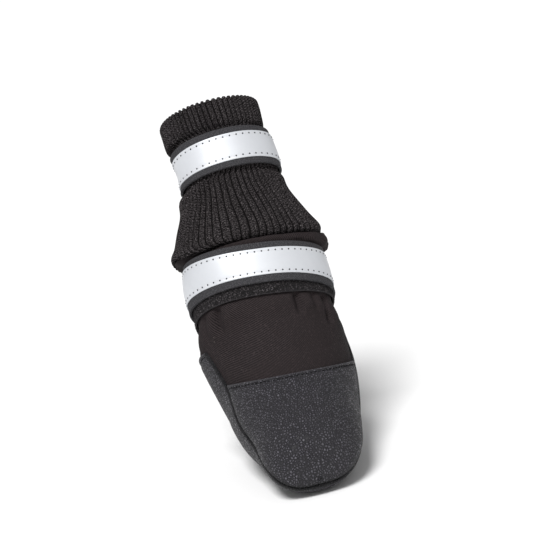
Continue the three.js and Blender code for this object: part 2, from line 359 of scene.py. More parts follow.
@dataclass
class BootForm:
    """The outer face of the boot as rings from the toe to the rim, in mm."""

    foot_length: float = 88.0
    ball_width: float = 66.0
    instep_height: float = 79.0
    instep_setback: float = 14.5
    shaft_lean: float = 26.0
    ring_slant: float = 8.0
    ankle_width: float = 63.0
    ankle_depth: float = 46.0
    cuff_width: float = 44.5
    cuff_depth: float = 34.0
    shaft_sway: float = 4.0
    sole_proud: float = 0.6
    crown: float = 0.96
    shaft_base: float = 0.94
    probe: float = 0.02
    slack: float = 1.0
    cloth: Slack = Slack()
    first_shaft: int = len(FOOT_RINGS)
    table: np.ndarray = field(init=False, repr=False)
    stations: np.ndarray = field(init=False, repr=False)

    def __post_init__(self) -> None:
        """Work out every ring's front, back, half width and roundness."""
        rows = []
        for ring in FOOT_RINGS:
            rows.append((
                ring.front_y * self.foot_length, ring.front_z * self.instep_height,
                ring.back_y * self.foot_length, ring.back_z * self.instep_height,
                ring.half * self.ball_width, ring.base,
            ))
        lean = math.radians(self.shaft_lean)
        for ring in SHAFT_RINGS:
            slope = math.radians(self.shaft_lean + self.ring_slant + ring.turn)
            ankle = ring.of is Site.ANKLE
            width = self.ankle_width if ankle else self.cuff_width
            depth = (self.ankle_depth if ankle else self.cuff_depth) * ring.depth
            front_y = self.instep_setback + ring.station * math.sin(lean)
            front_z = self.instep_height + ring.station * math.cos(lean)
            rows.append((
                front_y, front_z,
                front_y + depth * math.cos(slope), front_z - depth * math.sin(slope),
                width * ring.width / 2.0, self.shaft_base,
            ))
        self.table = np.array(rows)
        self.stations = np.array([ring.station for ring in SHAFT_RINGS])

    def place_of(self, station: np.ndarray) -> np.ndarray:
        """Turn stations along the front of the shaft into ring places.

        Args:
            station: lengths up from the instep, in mm.

        Returns:
            Ring places of the same shape.
        """
        steps = np.arange(len(self.stations), dtype=float)
        return self.first_shaft + np.interp(station, self.stations, steps)

    def point(self, place: np.ndarray, angle: np.ndarray) -> np.ndarray:
        """Give points on the outer face.

        Args:
            place: ring places.
            angle: angles in radians, 0 in front and positive towards +X.

        Returns:
            Positions in mm, with x, y and z on the last axis.
        """
        place, angle = np.broadcast_arrays(place, angle)
        row = np.moveaxis(blend_rows(self.table, place), -1, 0)
        front_y, front_z, back_y, back_z, half, base = row
        towards = np.cos(angle)
        across = np.sin(angle)
        square = np.where(towards < 0.0, base, self.crown)
        arm = np.sign(towards) * np.abs(towards) ** square
        side = np.sign(across) * np.abs(across) ** square
        rise = np.maximum(0.0, (place - self.first_shaft) / (len(self.table) - 1 - self.first_shaft))
        half = half * (1.0 - self.slack * self.cloth.draw_in(place, across))
        x = half * side - self.shaft_sway * rise * rise
        y = (front_y + back_y) / 2.0 + arm * (front_y - back_y) / 2.0
        z = (front_z + back_z) / 2.0 + arm * (front_z - back_z) / 2.0
        shift, lift = self.cloth.hang(place, towards, across)
        lean = math.radians(self.shaft_lean)
        x = x + self.slack * shift
        y = y + self.slack * lift * math.sin(lean)
        z = z + self.slack * lift * math.cos(lean) + self.slack * self.cloth.spring(place, towards)
        return np.stack([x, y, np.maximum(z, self.sole_proud)], axis=-1)

    def normal(self, place: np.ndarray, angle: np.ndarray) -> np.ndarray:
        """Give the directions that point straight out of the outer face.

        Args:
            place: ring places.
            angle: angles in radians.

        Returns:
            Unit vectors on the last axis.
        """
        last = len(self.table) - 1.0
        around = self.point(place, angle + self.probe) - self.point(place, angle - self.probe)
        above = self.point(np.minimum(place + self.probe, last), angle)
        below = self.point(np.maximum(place - self.probe, 0.0), angle)
        out = np.cross(around, above - below)
        size = np.linalg.norm(out, axis=-1, keepdims=True)
        return np.where(size > 1e-9, out / np.maximum(size, 1e-9), np.array([0.0, -1.0, 0.0]))

    def face(self, place: np.ndarray, angle: np.ndarray, offset: np.ndarray) -> np.ndarray:
        """Give points moved out from the outer face.

        Args:
            place: ring places.
            angle: angles in radians.
            offset: how far out, in mm, less than 0 for inwards.

        Returns:
            Positions in mm.
        """
        place, angle, offset = np.broadcast_arrays(
            *(np.asarray(value, dtype=float) for value in (place, angle, offset)))
        point = self.point(place, angle)
        moved = point + self.normal(place, angle) * offset[..., None]
        floor = self.sole_proud - np.maximum(offset, 0.0)
        flat = point[..., 2] <= self.sole_proud + 1e-6
        pole = point + np.array([0.0, -1.0, 0.0]) * offset[..., None]
        moved[..., 2] = np.maximum(moved[..., 2], floor)
        under = np.stack([point[..., 0], point[..., 1], self.sole_proud - offset], axis=-1)
        moved = np.where(flat[..., None], under, moved)
        return np.where((place < 1e-6)[..., None], pole, moved)

    def on_shaft(self, station: np.ndarray, angle: np.ndarray, offset: np.ndarray) -> np.ndarray:
        """Give points of the shaft by station, angle and offset, in mm."""
        return self.face(self.place_of(station), angle, offset)


@dataclass
class SideSeam:
    """Where the grip cloth of the sole meets the upper, and the lines that end the panels."""

    form: BootForm
    true_form: BootForm = field(default_factory=lambda: BootForm(slack=0.0))
    right_turns: tuple[Step, ...] = (Step(17.0, 3.2, 6.5), Step(7.65, 8.5, 11.0))
    left_turns: tuple[Step, ...] = (Step(11.5, 4.5, 8.0), Step(-4.6, 8.3, 11.0))
    toe_turn: Bump = Bump(25.0, 2.7, 2.4)
    right_toe_share: float = 0.45
    cap_tilt: float = 0.05
    cap_height: float = 46.5
    cap_setback: float = -8.0
    cap_slope: float = 12.0
    cup_below_band: float = 5.0
    samples: int = 420
    curve: np.ndarray = field(init=False, repr=False)
    places: np.ndarray = field(init=False, repr=False)
    angles: np.ndarray = field(init=False, repr=False)

    def __post_init__(self) -> None:
        """Find the seam's angle on every ring, from the tip under the toe to its top corner."""
        shares = np.array(SEAM_SHARES) * np.array([self.form.foot_length, self.form.instep_height])
        self.curve = blend_rows(shares, np.linspace(0.0, len(shares) - 1.0, 400))
        tip = self._tip_place()
        corner = self._corner_place()
        spread = np.linspace(0.0, 1.0, self.samples) ** 2
        self.places = tip + (corner - tip) * spread
        self.angles = self._angles_at(self.places)
        self.angles[0] = math.pi

    def height_at(self, y: np.ndarray) -> np.ndarray:
        """Give the seam's height in the side view at places along the boot, in mm."""
        return np.interp(y, self.curve[:, 0], self.curve[:, 1])

    def _angles_at(self, places: np.ndarray) -> np.ndarray:
        """Find the seam's angle on rings.

        Args:
            places: ring places.

        Returns:
            Angles in radians.
        """
        sweep = np.linspace(0.0, math.pi, 1441)
        points = self.true_form.point(places[:, None], sweep[None, :])
        above = points[..., 2] - self.height_at(points[..., 1])
        first = np.argmax(above < 0.0, axis=1)
        found = np.empty(len(places))
        for row, index in enumerate(first):
            if above[row, index] >= 0.0 or index == 0:
                found[row] = math.pi
                continue
            high, low = above[row, index - 1], above[row, index]
            found[row] = sweep[index - 1] + (sweep[index] - sweep[index - 1]) * high / (high - low)
        return found

    def _tip_place(self) -> float:
        """Find the ring on which the seam closes under the toe.

        Returns:
            The ring place.
        """
        sweep = np.linspace(0.0, 2.0, 2001)
        points = self.true_form.point(sweep, np.full_like(sweep, math.pi))
        above = points[:, 2] - self.height_at(points[:, 1])
        return float(sweep[np.argmax(above < 0.0)])

    def _corner_place(self) -> float:
        """Find the ring on which the seam ends at the heel cup.

        Returns:
            The ring place.
        """
        sweep = np.linspace(9.0, 12.0, 601)
        angles = self._angles_at(sweep)
        reach = self.true_form.point(sweep, angles)[:, 1]
        return float(sweep[np.argmax(reach >= self.curve[-1, 0])])

    def angle(self, place: np.ndarray, right: np.ndarray | bool) -> np.ndarray:
        """Give the seam's angle on rings: half a turn before the tip, level past the corner.

        Args:
            place: ring places.
            right: True on the +X side, where the slack cloth is drawn further back.

        Returns:
            Angles in radians.
        """
        tip = self.places[0]
        found = np.interp(place, self.places, self.angles)
        right_turn = sum(turn.at(place) for turn in self.right_turns)
        left_turn = sum(turn.at(place) for turn in self.left_turns)
        turned_up = self.toe_turn.at(place) * np.where(right, self.right_toe_share, 1.0)
        turned_up = turned_up * smooth_step(tip, tip + 1.0, place)
        found = found + np.radians(np.where(right, right_turn, left_turn) - turned_up)
        return np.where(place < tip, math.pi, found)

    def line(self) -> np.ndarray:
        """Draw the seam on both sides as one dense line.

        Returns:
            The line's points, in mm.
        """
        places = np.concatenate([self.places, np.linspace(self.places[-1], 12.6, 60)])
        right = self.form.point(places, self.angle(places, True))
        left = self.form.point(self.places, -self.angle(self.places, False))
        return np.concatenate([left[::-1], right[1:]])

    def above_cap(self, points: np.ndarray) -> np.ndarray:
        """Measure how far points are above the toe cap's straight top line.

        Args:
            points: positions in mm.

        Returns:
            Heights in mm, less than 0 below the line.
        """
        slope = math.tan(math.radians(self.cap_slope))
        line = self.cap_height - (points[..., 1] - self.cap_setback) * slope
        return points[..., 2] - line + self.cap_tilt * points[..., 0]

    def above_cup(self, points: np.ndarray) -> np.ndarray:
        """Measure how far points are above the heel cup's sloping edge.

        Args:
            points: positions in mm.

        Returns:
            Heights in mm, less than 0 below the edge.
        """
        top_y, top_z = self.curve[-1]
        heel_y, heel_z = self.form.table[self.form.first_shaft, 2:4]
        share = np.maximum(0.0, (points[..., 1] - top_y) / (heel_y - top_y))
        return points[..., 2] - (top_z - (top_z - heel_z + self.cup_below_band) * share ** 1.6)


def band_edge(angle: np.ndarray) -> np.ndarray:
    """Give the stations of the loop band's lower edge, nearer the strap at the sides, in mm."""
    across = np.sin(angle)
    return 2.9 + np.where(across > 0.0, 3.1, 1.1) * across ** 2


@dataclass
class Panel:
    """A cut panel of cloth laid on the form: ring places and angles with distances to its borders."""

    place: np.ndarray
    angle: np.ndarray
    top: np.ndarray
    side: np.ndarray


# Meshes made as by hand: a primitive first, then its points, doubles and thickness


def leave_all() -> None:
    """Leave edit mode and deselect everything."""
    if bpy.context.object and bpy.context.object.mode != "OBJECT":
        bpy.ops.object.mode_set(mode="OBJECT")
    bpy.ops.object.select_all(action="DESELECT")


def lay_cloth(name: str, points: np.ndarray, uvs: np.ndarray) -> bpy.types.Object:
    """Lay a grid of cloth over rows of points and sew up edges that meet.

    Args:
        name: the piece's name.
        points: rows by columns of positions in mm, columns running to +X in front.
        uvs: the same grid's pattern places.

    Returns:
        The new piece.
    """
    rows, columns = points.shape[:2]
    leave_all()
    bpy.ops.mesh.primitive_grid_add(x_subdivisions=columns - 1, y_subdivisions=rows - 1, size=0.1)
    piece = bpy.context.active_object
    piece.name = name
    piece.data.name = name
    piece.data.vertices.foreach_set("co", (points * MM).reshape(-1).astype(np.float32))
    corners = np.empty(len(piece.data.loops), dtype=np.int32)
    piece.data.loops.foreach_get("vertex_index", corners)
    flat = uvs.reshape(-1, 2)[corners]
    piece.data.uv_layers.active.data.foreach_set("uv", flat.reshape(-1).astype(np.float32))
    piece.data.update()
    bpy.ops.object.mode_set(mode="EDIT")
    bpy.ops.mesh.select_all(action="SELECT")
    bpy.ops.mesh.remove_doubles(threshold=2e-6)
    bpy.ops.mesh.select_all(action="DESELECT")
    bpy.ops.object.mode_set(mode="OBJECT")
    return piece


def thicken(piece: bpy.types.Object, wall: float) -> None:
    """Give a laid cloth its thickness inwards.

    Args:
        piece: the laid cloth.
        wall: the thickness in mm.
    """
    solid = piece.modifiers.new("thickness", "SOLIDIFY")
    solid.thickness = wall * MM
    solid.offset = -1.0
    solid.use_even_offset = False
    solid.use_rim = True
    apply_all(piece)


def apply_all(piece: bpy.types.Object) -> None:
    """Apply every modifier of a piece in order.

    Args:
        piece: the piece.
    """
    leave_all()
    piece.select_set(True)
    bpy.context.view_layer.objects.active = piece
    for modifier in list(piece.modifiers):
        bpy.ops.object.modifier_apply(modifier=modifier.name)


def smooth(piece: bpy.types.Object, limit: float = 50.0) -> None:
    """Shade a piece smooth where its faces meet flatly.

    Args:
        piece: the piece.
        limit: the angle up to which edges are smooth, in degrees.
    """
    leave_all()
    piece.select_set(True)
    bpy.context.view_layer.objects.active = piece
    bpy.ops.object.shade_smooth_by_angle(angle=math.radians(limit))


def repeat_shape(seed: bpy.types.Object, name: str, frames: np.ndarray) -> bpy.types.Object:
    """Copy a small shape to many places in one joined mesh.

    Args:
        seed: the shape, modelled once; its mesh becomes the joined one.
        name: the name of the joined piece.
        frames: one 4 by 3 block for each copy: the three axes with their sizes, then the place, in mm.

    Returns:
        The joined piece.
    """
    count = len(seed.data.vertices)
    shape = np.empty(count * 3)
    seed.data.vertices.foreach_get("co", shape)
    shape = shape.reshape(-1, 3)
    faces = [tuple(face.vertices) for face in seed.data.polygons]
    axes, places = frames[:, :3, :], frames[:, 3, :]
    points = np.einsum("vk,nkc->nvc", shape, axes) + places[:, None, :]
    joined = bpy.data.meshes.new(name)
    all_faces = [tuple(v + copy * count for v in face) for copy in range(len(frames)) for face in faces]
    joined.from_pydata((points.reshape(-1, 3) * MM).tolist(), [], all_faces)
    joined.update()
    old = seed.data
    seed.data = joined
    bpy.data.meshes.remove(old)
    seed.name = name
    return seed


def loop_rows(low: float, high: float, inner: float, outer: float, radius: float,
              out_step: float, in_step: float) -> np.ndarray:
    """Walk round the cross-section of a strap or wall: up its outer face, over, and down inside.

    Args:
        low: the lower edge along the wall, in mm.
        high: the upper edge, in mm.
        inner: the inner face's offset, in mm.
        outer: the outer face's offset, in mm.
        radius: how round the edges are, in mm.
        out_step: the row spacing outside, in mm.
        in_step: the row spacing inside, in mm.

    Returns:
        Rows of station, offset and the outward direction in both.
    """
    radius = min(radius, (outer - inner) / 2.0, (high - low) / 2.0)
    rows: list[tuple[float, float, float, float]] = []
    turn = np.linspace(0.0, math.pi / 2.0, 5)

    def corner(middle_s: float, middle_o: float, start: float) -> None:
        """Add the rows of one rounded corner."""
        for step in turn:
            way = start + step
            rows.append((
                middle_s + radius * math.sin(way), middle_o + radius * math.cos(way),
                math.sin(way), math.cos(way),
            ))

    count = max(2, round((high - low - 2.0 * radius) / out_step))
    for station in np.linspace(low + radius, high - radius, count + 1)[1:-1]:
        rows.append((station, outer, 0.0, 1.0))
    corner(high - radius, outer - radius, 0.0)
    corner(high - radius, inner + radius, math.pi / 2.0)
    count = max(2, round((high - low - 2.0 * radius) / in_step))
    for station in np.linspace(high - radius, low + radius, count + 1)[1:-1]:
        rows.append((station, inner, 0.0, -1.0))
    corner(low + radius, inner + radius, math.pi)
    corner(low + radius, outer - radius, 1.5 * math.pi)
    kept = [rows[0]]
    for row in rows[1:]:
        if abs(row[0] - kept[-1][0]) + abs(row[1] - kept[-1][1]) > 1e-6:
            kept.append(row)
    return np.array(kept)


# Finishes


class NodeDesk:
    """Places nodes in one tree and joins their sockets."""

    def __init__(self, tree: bpy.types.NodeTree) -> None:
        """Keep the tree to work on."""
        self.tree = tree
        self.count = 0

    def put(self, kind: str, inputs: dict | None = None, **settings: object) -> bpy.types.Node:
        """Place a node, fill its sockets and set its choices.

        Args:
            kind: the node's type.
            inputs: values or sockets by socket name or number.
            settings: the node's own choices.

        Returns:
            The new node.
        """
        node = self.tree.nodes.new(kind)
        node.location = (self.count * 190 % 1900, -(self.count // 10) * 260)
        self.count += 1
        for key, value in settings.items():
            setattr(node, key, value)
        for key, value in (inputs or {}).items():
            if isinstance(value, bpy.types.NodeSocket):
                self.tree.links.new(value, node.inputs[key])
            else:
                node.inputs[key].default_value = value
        return node

    def place(self) -> Socket:
        """Give places on the piece, in metres."""
        return self.put("ShaderNodeTexCoord").outputs["Object"]

    def chart(self) -> Socket:
        """Give places on the piece's own pattern chart."""
        return self.put("ShaderNodeUVMap").outputs[0]

    def parts(self, vector: Socket) -> bpy.types.bpy_prop_collection:
        """Give the three numbers of a vector as sockets."""
        return self.put("ShaderNodeSeparateXYZ", {0: vector}).outputs

    def noise(self, place: Socket, scale: Socket | float, detail: float = 2.0,
              roughness: float = 0.5) -> Socket:
        """Place a noise.

        Args:
            place: the places to read it at.
            scale: how many spots it has in each metre or chart unit.
            detail: how many finer layers it has.
            roughness: how strong the finer layers are.

        Returns:
            The socket of its strength.
        """
        inputs = {"Vector": place, "Scale": scale, "Detail": detail, "Roughness": roughness}
        return self.put("ShaderNodeTexNoise", inputs).outputs["Fac"]

    def math(self, operation: str, first: Socket | float, second: Socket | float = 0.0,
             third: Socket | float = 0.0) -> Socket:
        """Join up one number operation.

        Args:
            operation: the operation's name.
            first: the first number or socket.
            second: the second number or socket.
            third: the third number or socket.

        Returns:
            The socket of the result.
        """
        return self.put("ShaderNodeMath", {0: first, 1: second, 2: third}, operation=operation).outputs[0]

    def ramp(self, value: Socket, low: float, high: float, start: float = 0.0, end: float = 1.0) -> Socket:
        """Map a number smoothly from one range to another.

        Args:
            value: the socket to map.
            low: the value that becomes start.
            high: the value that becomes end.
            start: the result at low.
            end: the result at high.

        Returns:
            The socket of the result.
        """
        inputs = {"Value": value, "From Min": low, "From Max": high, "To Min": start, "To Max": end}
        node = self.put("ShaderNodeMapRange", inputs, interpolation_type="SMOOTHSTEP", clamp=True)
        return node.outputs["Result"]

    def mix(self, share: Socket | float, first: Socket | Color, second: Socket | Color) -> Socket:
        """Mix two colours.

        Args:
            share: how much of the second colour.
            first: the first colour.
            second: the second colour.

        Returns:
            The socket of the mixed colour.
        """
        node = self.put("ShaderNodeMix", {0: share}, data_type="RGBA", clamp_factor=True)
        for socket, color in ((node.inputs[6], first), (node.inputs[7], second)):
            if isinstance(color, bpy.types.NodeSocket):
                self.tree.links.new(color, socket)
            else:
                socket.default_value = (*color, 1.0)
        return node.outputs[2]


@dataclass(frozen=True)
class Port:
    """One named input or output of a shared effect."""

    name: str
    kind: str = "NodeSocketFloat"
    start: float = 0.0


class SharedEffect:
    """A shader node group that is built once and used by several finishes."""

    name = "effect"
    ports_in: tuple[Port, ...] = ()
    ports_out: tuple[Port, ...] = ()

    def draw(self, desk: NodeDesk, source: bpy.types.Node) -> dict[str, Socket]:
        """Place the group's own nodes.

        Args:
            desk: the desk of the group's tree.
            source: the node that holds the group's inputs.

        Returns:
            The socket for each output name.
        """
        raise NotImplementedError

    def tree(self) -> bpy.types.NodeTree:
        """Give the group's tree, building it the first time.

        Returns:
            The group's node tree.
        """
        found = bpy.data.node_groups.get(self.name)
        if found:
            return found
        tree = bpy.data.node_groups.new(self.name, "ShaderNodeTree")
        for port in self.ports_in:
            socket = tree.interface.new_socket(port.name, in_out="INPUT", socket_type=port.kind)
            if port.kind == "NodeSocketFloat":
                socket.default_value = port.start
        for port in self.ports_out:
            tree.interface.new_socket(port.name, in_out="OUTPUT", socket_type=port.kind)
        desk = NodeDesk(tree)
        source = desk.put("NodeGroupInput")
        results = self.draw(desk, source)
        desk.put("NodeGroupOutput", dict(results))
        return tree

    def use(self, desk: NodeDesk, inputs: dict) -> bpy.types.Node:
        """Place the effect in a material.

        Args:
            desk: the material's desk.
            inputs: values or sockets by input name.

        Returns:
            The group node.
        """
        return desk.put("ShaderNodeGroup", inputs, node_tree=self.tree())


class PebbleGrain(SharedEffect):
    """The small pebbles of grip cloth, uneven in size and height."""

    name = "pebble grain"
    ports_in = (Port("Place", "NodeSocketVector"), Port("Per Metre", start=950.0))
    ports_out = (Port("Height"), Port("Shade"))

    def draw(self, desk: NodeDesk, source: bpy.types.Node) -> dict[str, Socket]:
        """Raise round cells and let a noise vary their height.

        Args:
            desk: the group's desk.
            source: the group's inputs.

        Returns:
            The height and the shade.
        """
        place, rate = source.outputs["Place"], source.outputs["Per Metre"]
        cells = desk.put("ShaderNodeTexVoronoi", {"Vector": place, "Scale": rate, "Randomness": 0.95},
                         feature="DISTANCE_TO_EDGE")
        pebble = desk.ramp(cells.outputs["Distance"], -0.06, 0.42)
        coarse = desk.noise(place, desk.math("MULTIPLY", rate, 0.45))
        broad = desk.noise(place, 55.0, 3.0)
        lift = desk.ramp(coarse, 0.36, 0.64, 0.55, 1.0)
        return {"Height": desk.math("MULTIPLY", pebble, lift), "Shade": desk.ramp(broad, 0.3, 0.72)}


class FineTwill(SharedEffect):
    """Close diagonal ribs of a woven softshell."""

    name = "fine twill"
    ports_in = (Port("Place", "NodeSocketVector"), Port("Pitch", start=0.0008))
    ports_out = (Port("Height"),)

    def draw(self, desk: NodeDesk, source: bpy.types.Node) -> dict[str, Socket]:
        """Turn diagonal distance into rows of slanted threads.

        Args:
            desk: the group's desk.
            source: the group's inputs.

        Returns:
            The height.
        """
        place, pitch = source.outputs["Place"], source.outputs["Pitch"]
        parts = desk.parts(place)
        wander = desk.noise(place, 700.0)
        drift = desk.math("MULTIPLY", desk.math("SUBTRACT", wander, 0.5), 2.2)
        along = desk.math("DIVIDE", desk.math("ADD", parts[0], parts[1]), pitch)
        across = desk.math("DIVIDE", desk.math("SUBTRACT", parts[0], parts[1]), pitch)
        full = 2.0 * math.pi
        ribs = desk.math("SINE", desk.math("MULTIPLY_ADD", along, full, drift))
        steps = desk.math("SINE", desk.math("MULTIPLY_ADD", across, full * 1.7, drift))
        height = desk.math("MULTIPLY_ADD", ribs, 0.36, desk.math("MULTIPLY_ADD", steps, 0.12, 0.5))
        return {"Height": height}


class KnitCourses(SharedEffect):
    """Columns of V stitches on the ribs of a one by one knit."""

    name = "knit courses"
    ports_in = (Port("Place", "NodeSocketVector"), Port("Fuzz", start=0.4))
    ports_out = (Port("Height"), Port("Leg"), Port("Groove"))

    def draw(self, desk: NodeDesk, source: bpy.types.Node) -> dict[str, Socket]:
        """Slant the courses to both sides of each rib's middle.

        Args:
            desk: the group's desk.
            source: the group's inputs.

        Returns:
            The height, the share of lit yarn and the groove between ribs.
        """
        place = source.outputs["Place"]
        parts = desk.parts(place)
        rib = desk.math("PINGPONG", parts[0], 0.5)
        drift = desk.math("SUBTRACT", desk.noise(place, 1.3, 4.0), 0.5)
        course = desk.math("MULTIPLY_ADD", rib, 1.1, parts[1])
        course = desk.math("MULTIPLY_ADD", drift, 1.5, course)
        wave = desk.math("SINE", desk.math("MULTIPLY", course, 2.0 * math.pi))
        stitch = desk.math("MULTIPLY_ADD", wave, 0.5, 0.5)
        on_rib = desk.math("MULTIPLY", stitch, desk.ramp(rib, 0.0, 0.11))
        groove = desk.ramp(rib, 0.36, 0.48)
        leg = desk.math("MULTIPLY", on_rib, desk.math("SUBTRACT", 1.0, groove))
        fuzz = desk.noise(place, 7.0, 3.0)
        height = desk.math("MULTIPLY_ADD", fuzz, source.outputs["Fuzz"], leg)
        return {"Height": height, "Leg": leg, "Groove": groove}


class Heather(SharedEffect):
    """Light and dark yarns that run along a woven strap."""

    name = "heather yarns"
    ports_in = (Port("Place", "NodeSocketVector"), Port("Yarns", start=2400.0))
    ports_out = (Port("Height"), Port("Light"))

    def draw(self, desk: NodeDesk, source: bpy.types.Node) -> dict[str, Socket]:
        """Stretch noise along the strap and set a plain weave into it.

        Args:
            desk: the group's desk.
            source: the group's inputs.

        Returns:
            The height and the share of light yarn.
        """
        place, rate = source.outputs["Place"], source.outputs["Yarns"]
        long_way = desk.put("ShaderNodeMapping", {"Vector": place, "Scale": (0.75, 1.0, 1.0)})
        yarns = desk.noise(long_way.outputs[0], rate, 3.0)
        parts = desk.parts(place)
        warp = desk.math("SINE", desk.math("MULTIPLY", parts[1], 9000.0))
        weft = desk.math("SINE", desk.math("MULTIPLY", parts[0], 7000.0))
        weave = desk.math("MULTIPLY", warp, weft)
        height = desk.math("MULTIPLY_ADD", weave, 0.3, yarns)
        return {"Height": height, "Light": desk.ramp(yarns, 0.45, 0.72)}


class Lint(SharedEffect):
    """A few pale specks of dust caught in the cloth."""

    name = "lint specks"
    ports_in = (Port("Place", "NodeSocketVector"), Port("Spread", start=260.0))
    ports_out = (Port("Speck"),)

    def draw(self, desk: NodeDesk, source: bpy.types.Node) -> dict[str, Socket]:
        """Keep only the middles of scattered cells.

        Args:
            desk: the group's desk.
            source: the group's inputs.

        Returns:
            The specks.
        """
        cells = desk.put("ShaderNodeTexVoronoi", {"Vector": source.outputs["Place"],
                                                  "Scale": source.outputs["Spread"]})
        pick = desk.put("ShaderNodeSeparateColor", {0: cells.outputs["Color"]})
        chosen = desk.ramp(pick.outputs[0], 0.8, 0.9)
        speck = desk.ramp(cells.outputs["Distance"], 0.04, 0.09, 1.0, 0.0)
        return {"Speck": desk.math("MULTIPLY", chosen, speck)}


PEBBLE = PebbleGrain()
TWILL = FineTwill()
COURSES = KnitCourses()
HEATHER = Heather()
LINT = Lint()


@dataclass(frozen=True)
class Finish:
    """A finish: its name, two tones, roughness, gloss, and the strength and height of its relief in mm."""

    name: str
    dark: Color
    light: Color
    roughness: float
    bump: float = 0.5
    gloss: float = 0.5
    relief: float = 0.2

    def dress(self, desk: NodeDesk, shader: bpy.types.Node) -> None:
        """Join the finish's own pattern to the shader.

        Args:
            desk: the material's desk.
            shader: the Principled BSDF.
        """
        raise NotImplementedError

    def material(self) -> bpy.types.Material:
        """Give the finish's material, building it the first time.

        Returns:
            The material.
        """
        found = bpy.data.materials.get(self.name)
        if found:
            return found
        material = bpy.data.materials.new(self.name)
        material.use_nodes = True
        material.node_tree.nodes.clear()
        desk = NodeDesk(material.node_tree)
        shader = desk.put("ShaderNodeBsdfPrincipled", {"Roughness": self.roughness})
        self.dress(desk, shader)
        desk.put("ShaderNodeOutputMaterial", {"Surface": shader.outputs[0]})
        return material

    def join(self, desk: NodeDesk, shader: bpy.types.Node, color: Socket, height: Socket,
             rough: Socket | None = None) -> None:
        """Lead the colour, the relief and the roughness to the shader, and set its gloss.

        Args:
            desk: the material's desk.
            shader: the Principled BSDF.
            color: the colour's socket.
            height: the relief's socket.
            rough: the roughness's socket, None where it is the same all over.
        """
        desk.tree.links.new(color, shader.inputs["Base Color"])
        if rough is not None:
            desk.tree.links.new(rough, shader.inputs["Roughness"])
        shader.inputs["Specular IOR Level"].default_value = self.gloss
        inputs = {"Strength": self.bump, "Distance": self.relief * MM, "Height": height}
        desk.tree.links.new(desk.put("ShaderNodeBump", inputs).outputs[0], shader.inputs["Normal"])


@dataclass(frozen=True)
class GripCloth(Finish):
    """Coated cloth with a pebbled grain."""

    name: str = "grip cloth"
    # dark and light pebble tones, set far apart so that they also paint highlight on the tops and shade in
    # the valleys
    dark: Color = (0.0135, 0.0127, 0.0152)
    light: Color = (0.098, 0.0932, 0.109)
    roughness: float = 0.38
    bump: float = 1.0
    gloss: float = 0.3
    relief: float = 0.7
    rubbed: Color = (0.034, 0.033, 0.037)
    # the lighter tone along the folded top edge is a painted highlight
    folded: Color = (0.072, 0.069, 0.077)
    shaded: Color = (0.003, 0.003, 0.0034)
    dust: Color = (0.25, 0.24, 0.22)
    per_metre: float = 880.0
    stitched_at: float = 1.8

    def dress(self, desk: NodeDesk, shader: bpy.types.Node) -> None:
        """Lay the pebbles, their tops lighter and valleys darker partly as painted highlight and painted
        shade, with painted shade in the seam and along the stitches and a painted highlight at the folded
        edge.

        Args:
            desk: the material's desk.
            shader: the Principled BSDF.
        """
        place = desk.place()
        to_seam, to_top, _ = desk.parts(desk.chart())
        grain = PEBBLE.use(desk, {"Place": place, "Per Metre": self.per_metre}).outputs
        lint = LINT.use(desk, {"Place": place, "Spread": 210.0}).outputs
        # pebble tops lighter and valleys darker: partly the grain's own tone, partly painted highlight on
        # the tops and painted shade in the valleys
        body = desk.mix(desk.ramp(grain["Height"], 0.1, 0.9), self.dark, self.light)
        rubbed = desk.mix(desk.math("MULTIPLY", grain["Shade"], 0.12), body, self.rubbed)
        # painted highlight along the folded top edge
        folded = desk.mix(desk.ramp(to_top, 0.0006, 0.0014, 0.5, 0.0), rubbed, self.folded)
        # painted shade in the seam groove and in the dip along the stitches
        in_seam = desk.ramp(to_seam, 0.0006, 0.0021, 0.85, 0.0)
        to_stitch = desk.math("ABSOLUTE", desk.math("SUBTRACT", to_top, self.stitched_at * MM))
        at_stitch = desk.ramp(to_stitch, 0.0001, 0.0008, 0.1, 0.0)
        shaded = desk.mix(desk.math("MAXIMUM", in_seam, at_stitch), folded, self.shaded)
        color = desk.mix(desk.math("MULTIPLY", lint["Speck"], 0.12), shaded, self.dust)
        rough = desk.ramp(grain["Height"], 0.2, 0.95, self.roughness + 0.25, self.roughness - 0.05)
        self.join(desk, shader, color, grain["Height"], rough)


@dataclass(frozen=True)
class Softshell(Finish):
    """Brown-black woven shell cloth with a dry, soft face."""

    name: str = "softshell cloth"
    dark: Color = (0.0015, 0.0011, 0.0012)
    light: Color = (0.0365, 0.0288, 0.0302)
    roughness: float = 0.85
    bump: float = 0.6
    gloss: float = 0.12
    relief: float = 0.22
    tufted: Color = (0.062, 0.047, 0.048)
    faded: Color = (0.024, 0.0185, 0.0188)
    dust: Color = (0.22, 0.2, 0.18)
    pitch: float = 0.00098

    def dress(self, desk: NodeDesk, shader: bpy.types.Node) -> None:
        """Weave the twill, with soft patches and a little lint.

        Args:
            desk: the material's desk.
            shader: the Principled BSDF.
        """
        chart, place = desk.chart(), desk.place()
        weave = TWILL.use(desk, {"Place": chart, "Pitch": self.pitch}).outputs["Height"]
        lint = LINT.use(desk, {"Place": place, "Spread": 250.0}).outputs
        patches = desk.noise(place, 45.0, 5.0)
        tufts = desk.noise(place, 1500.0)
        woven = desk.mix(desk.ramp(weave, 0.15, 0.85), self.dark, self.light)
        body = desk.mix(desk.ramp(tufts, 0.52, 0.72, 0.0, 0.4), woven, self.tufted)
        soft = desk.mix(desk.ramp(patches, 0.35, 0.75, 0.0, 0.35), body, self.faded)
        color = desk.mix(desk.math("MULTIPLY", lint["Speck"], 0.45), soft, self.dust)
        rough = desk.ramp(patches, 0.3, 0.7, self.roughness - 0.06, self.roughness + 0.08)
        self.join(desk, shader, color, weave, rough)


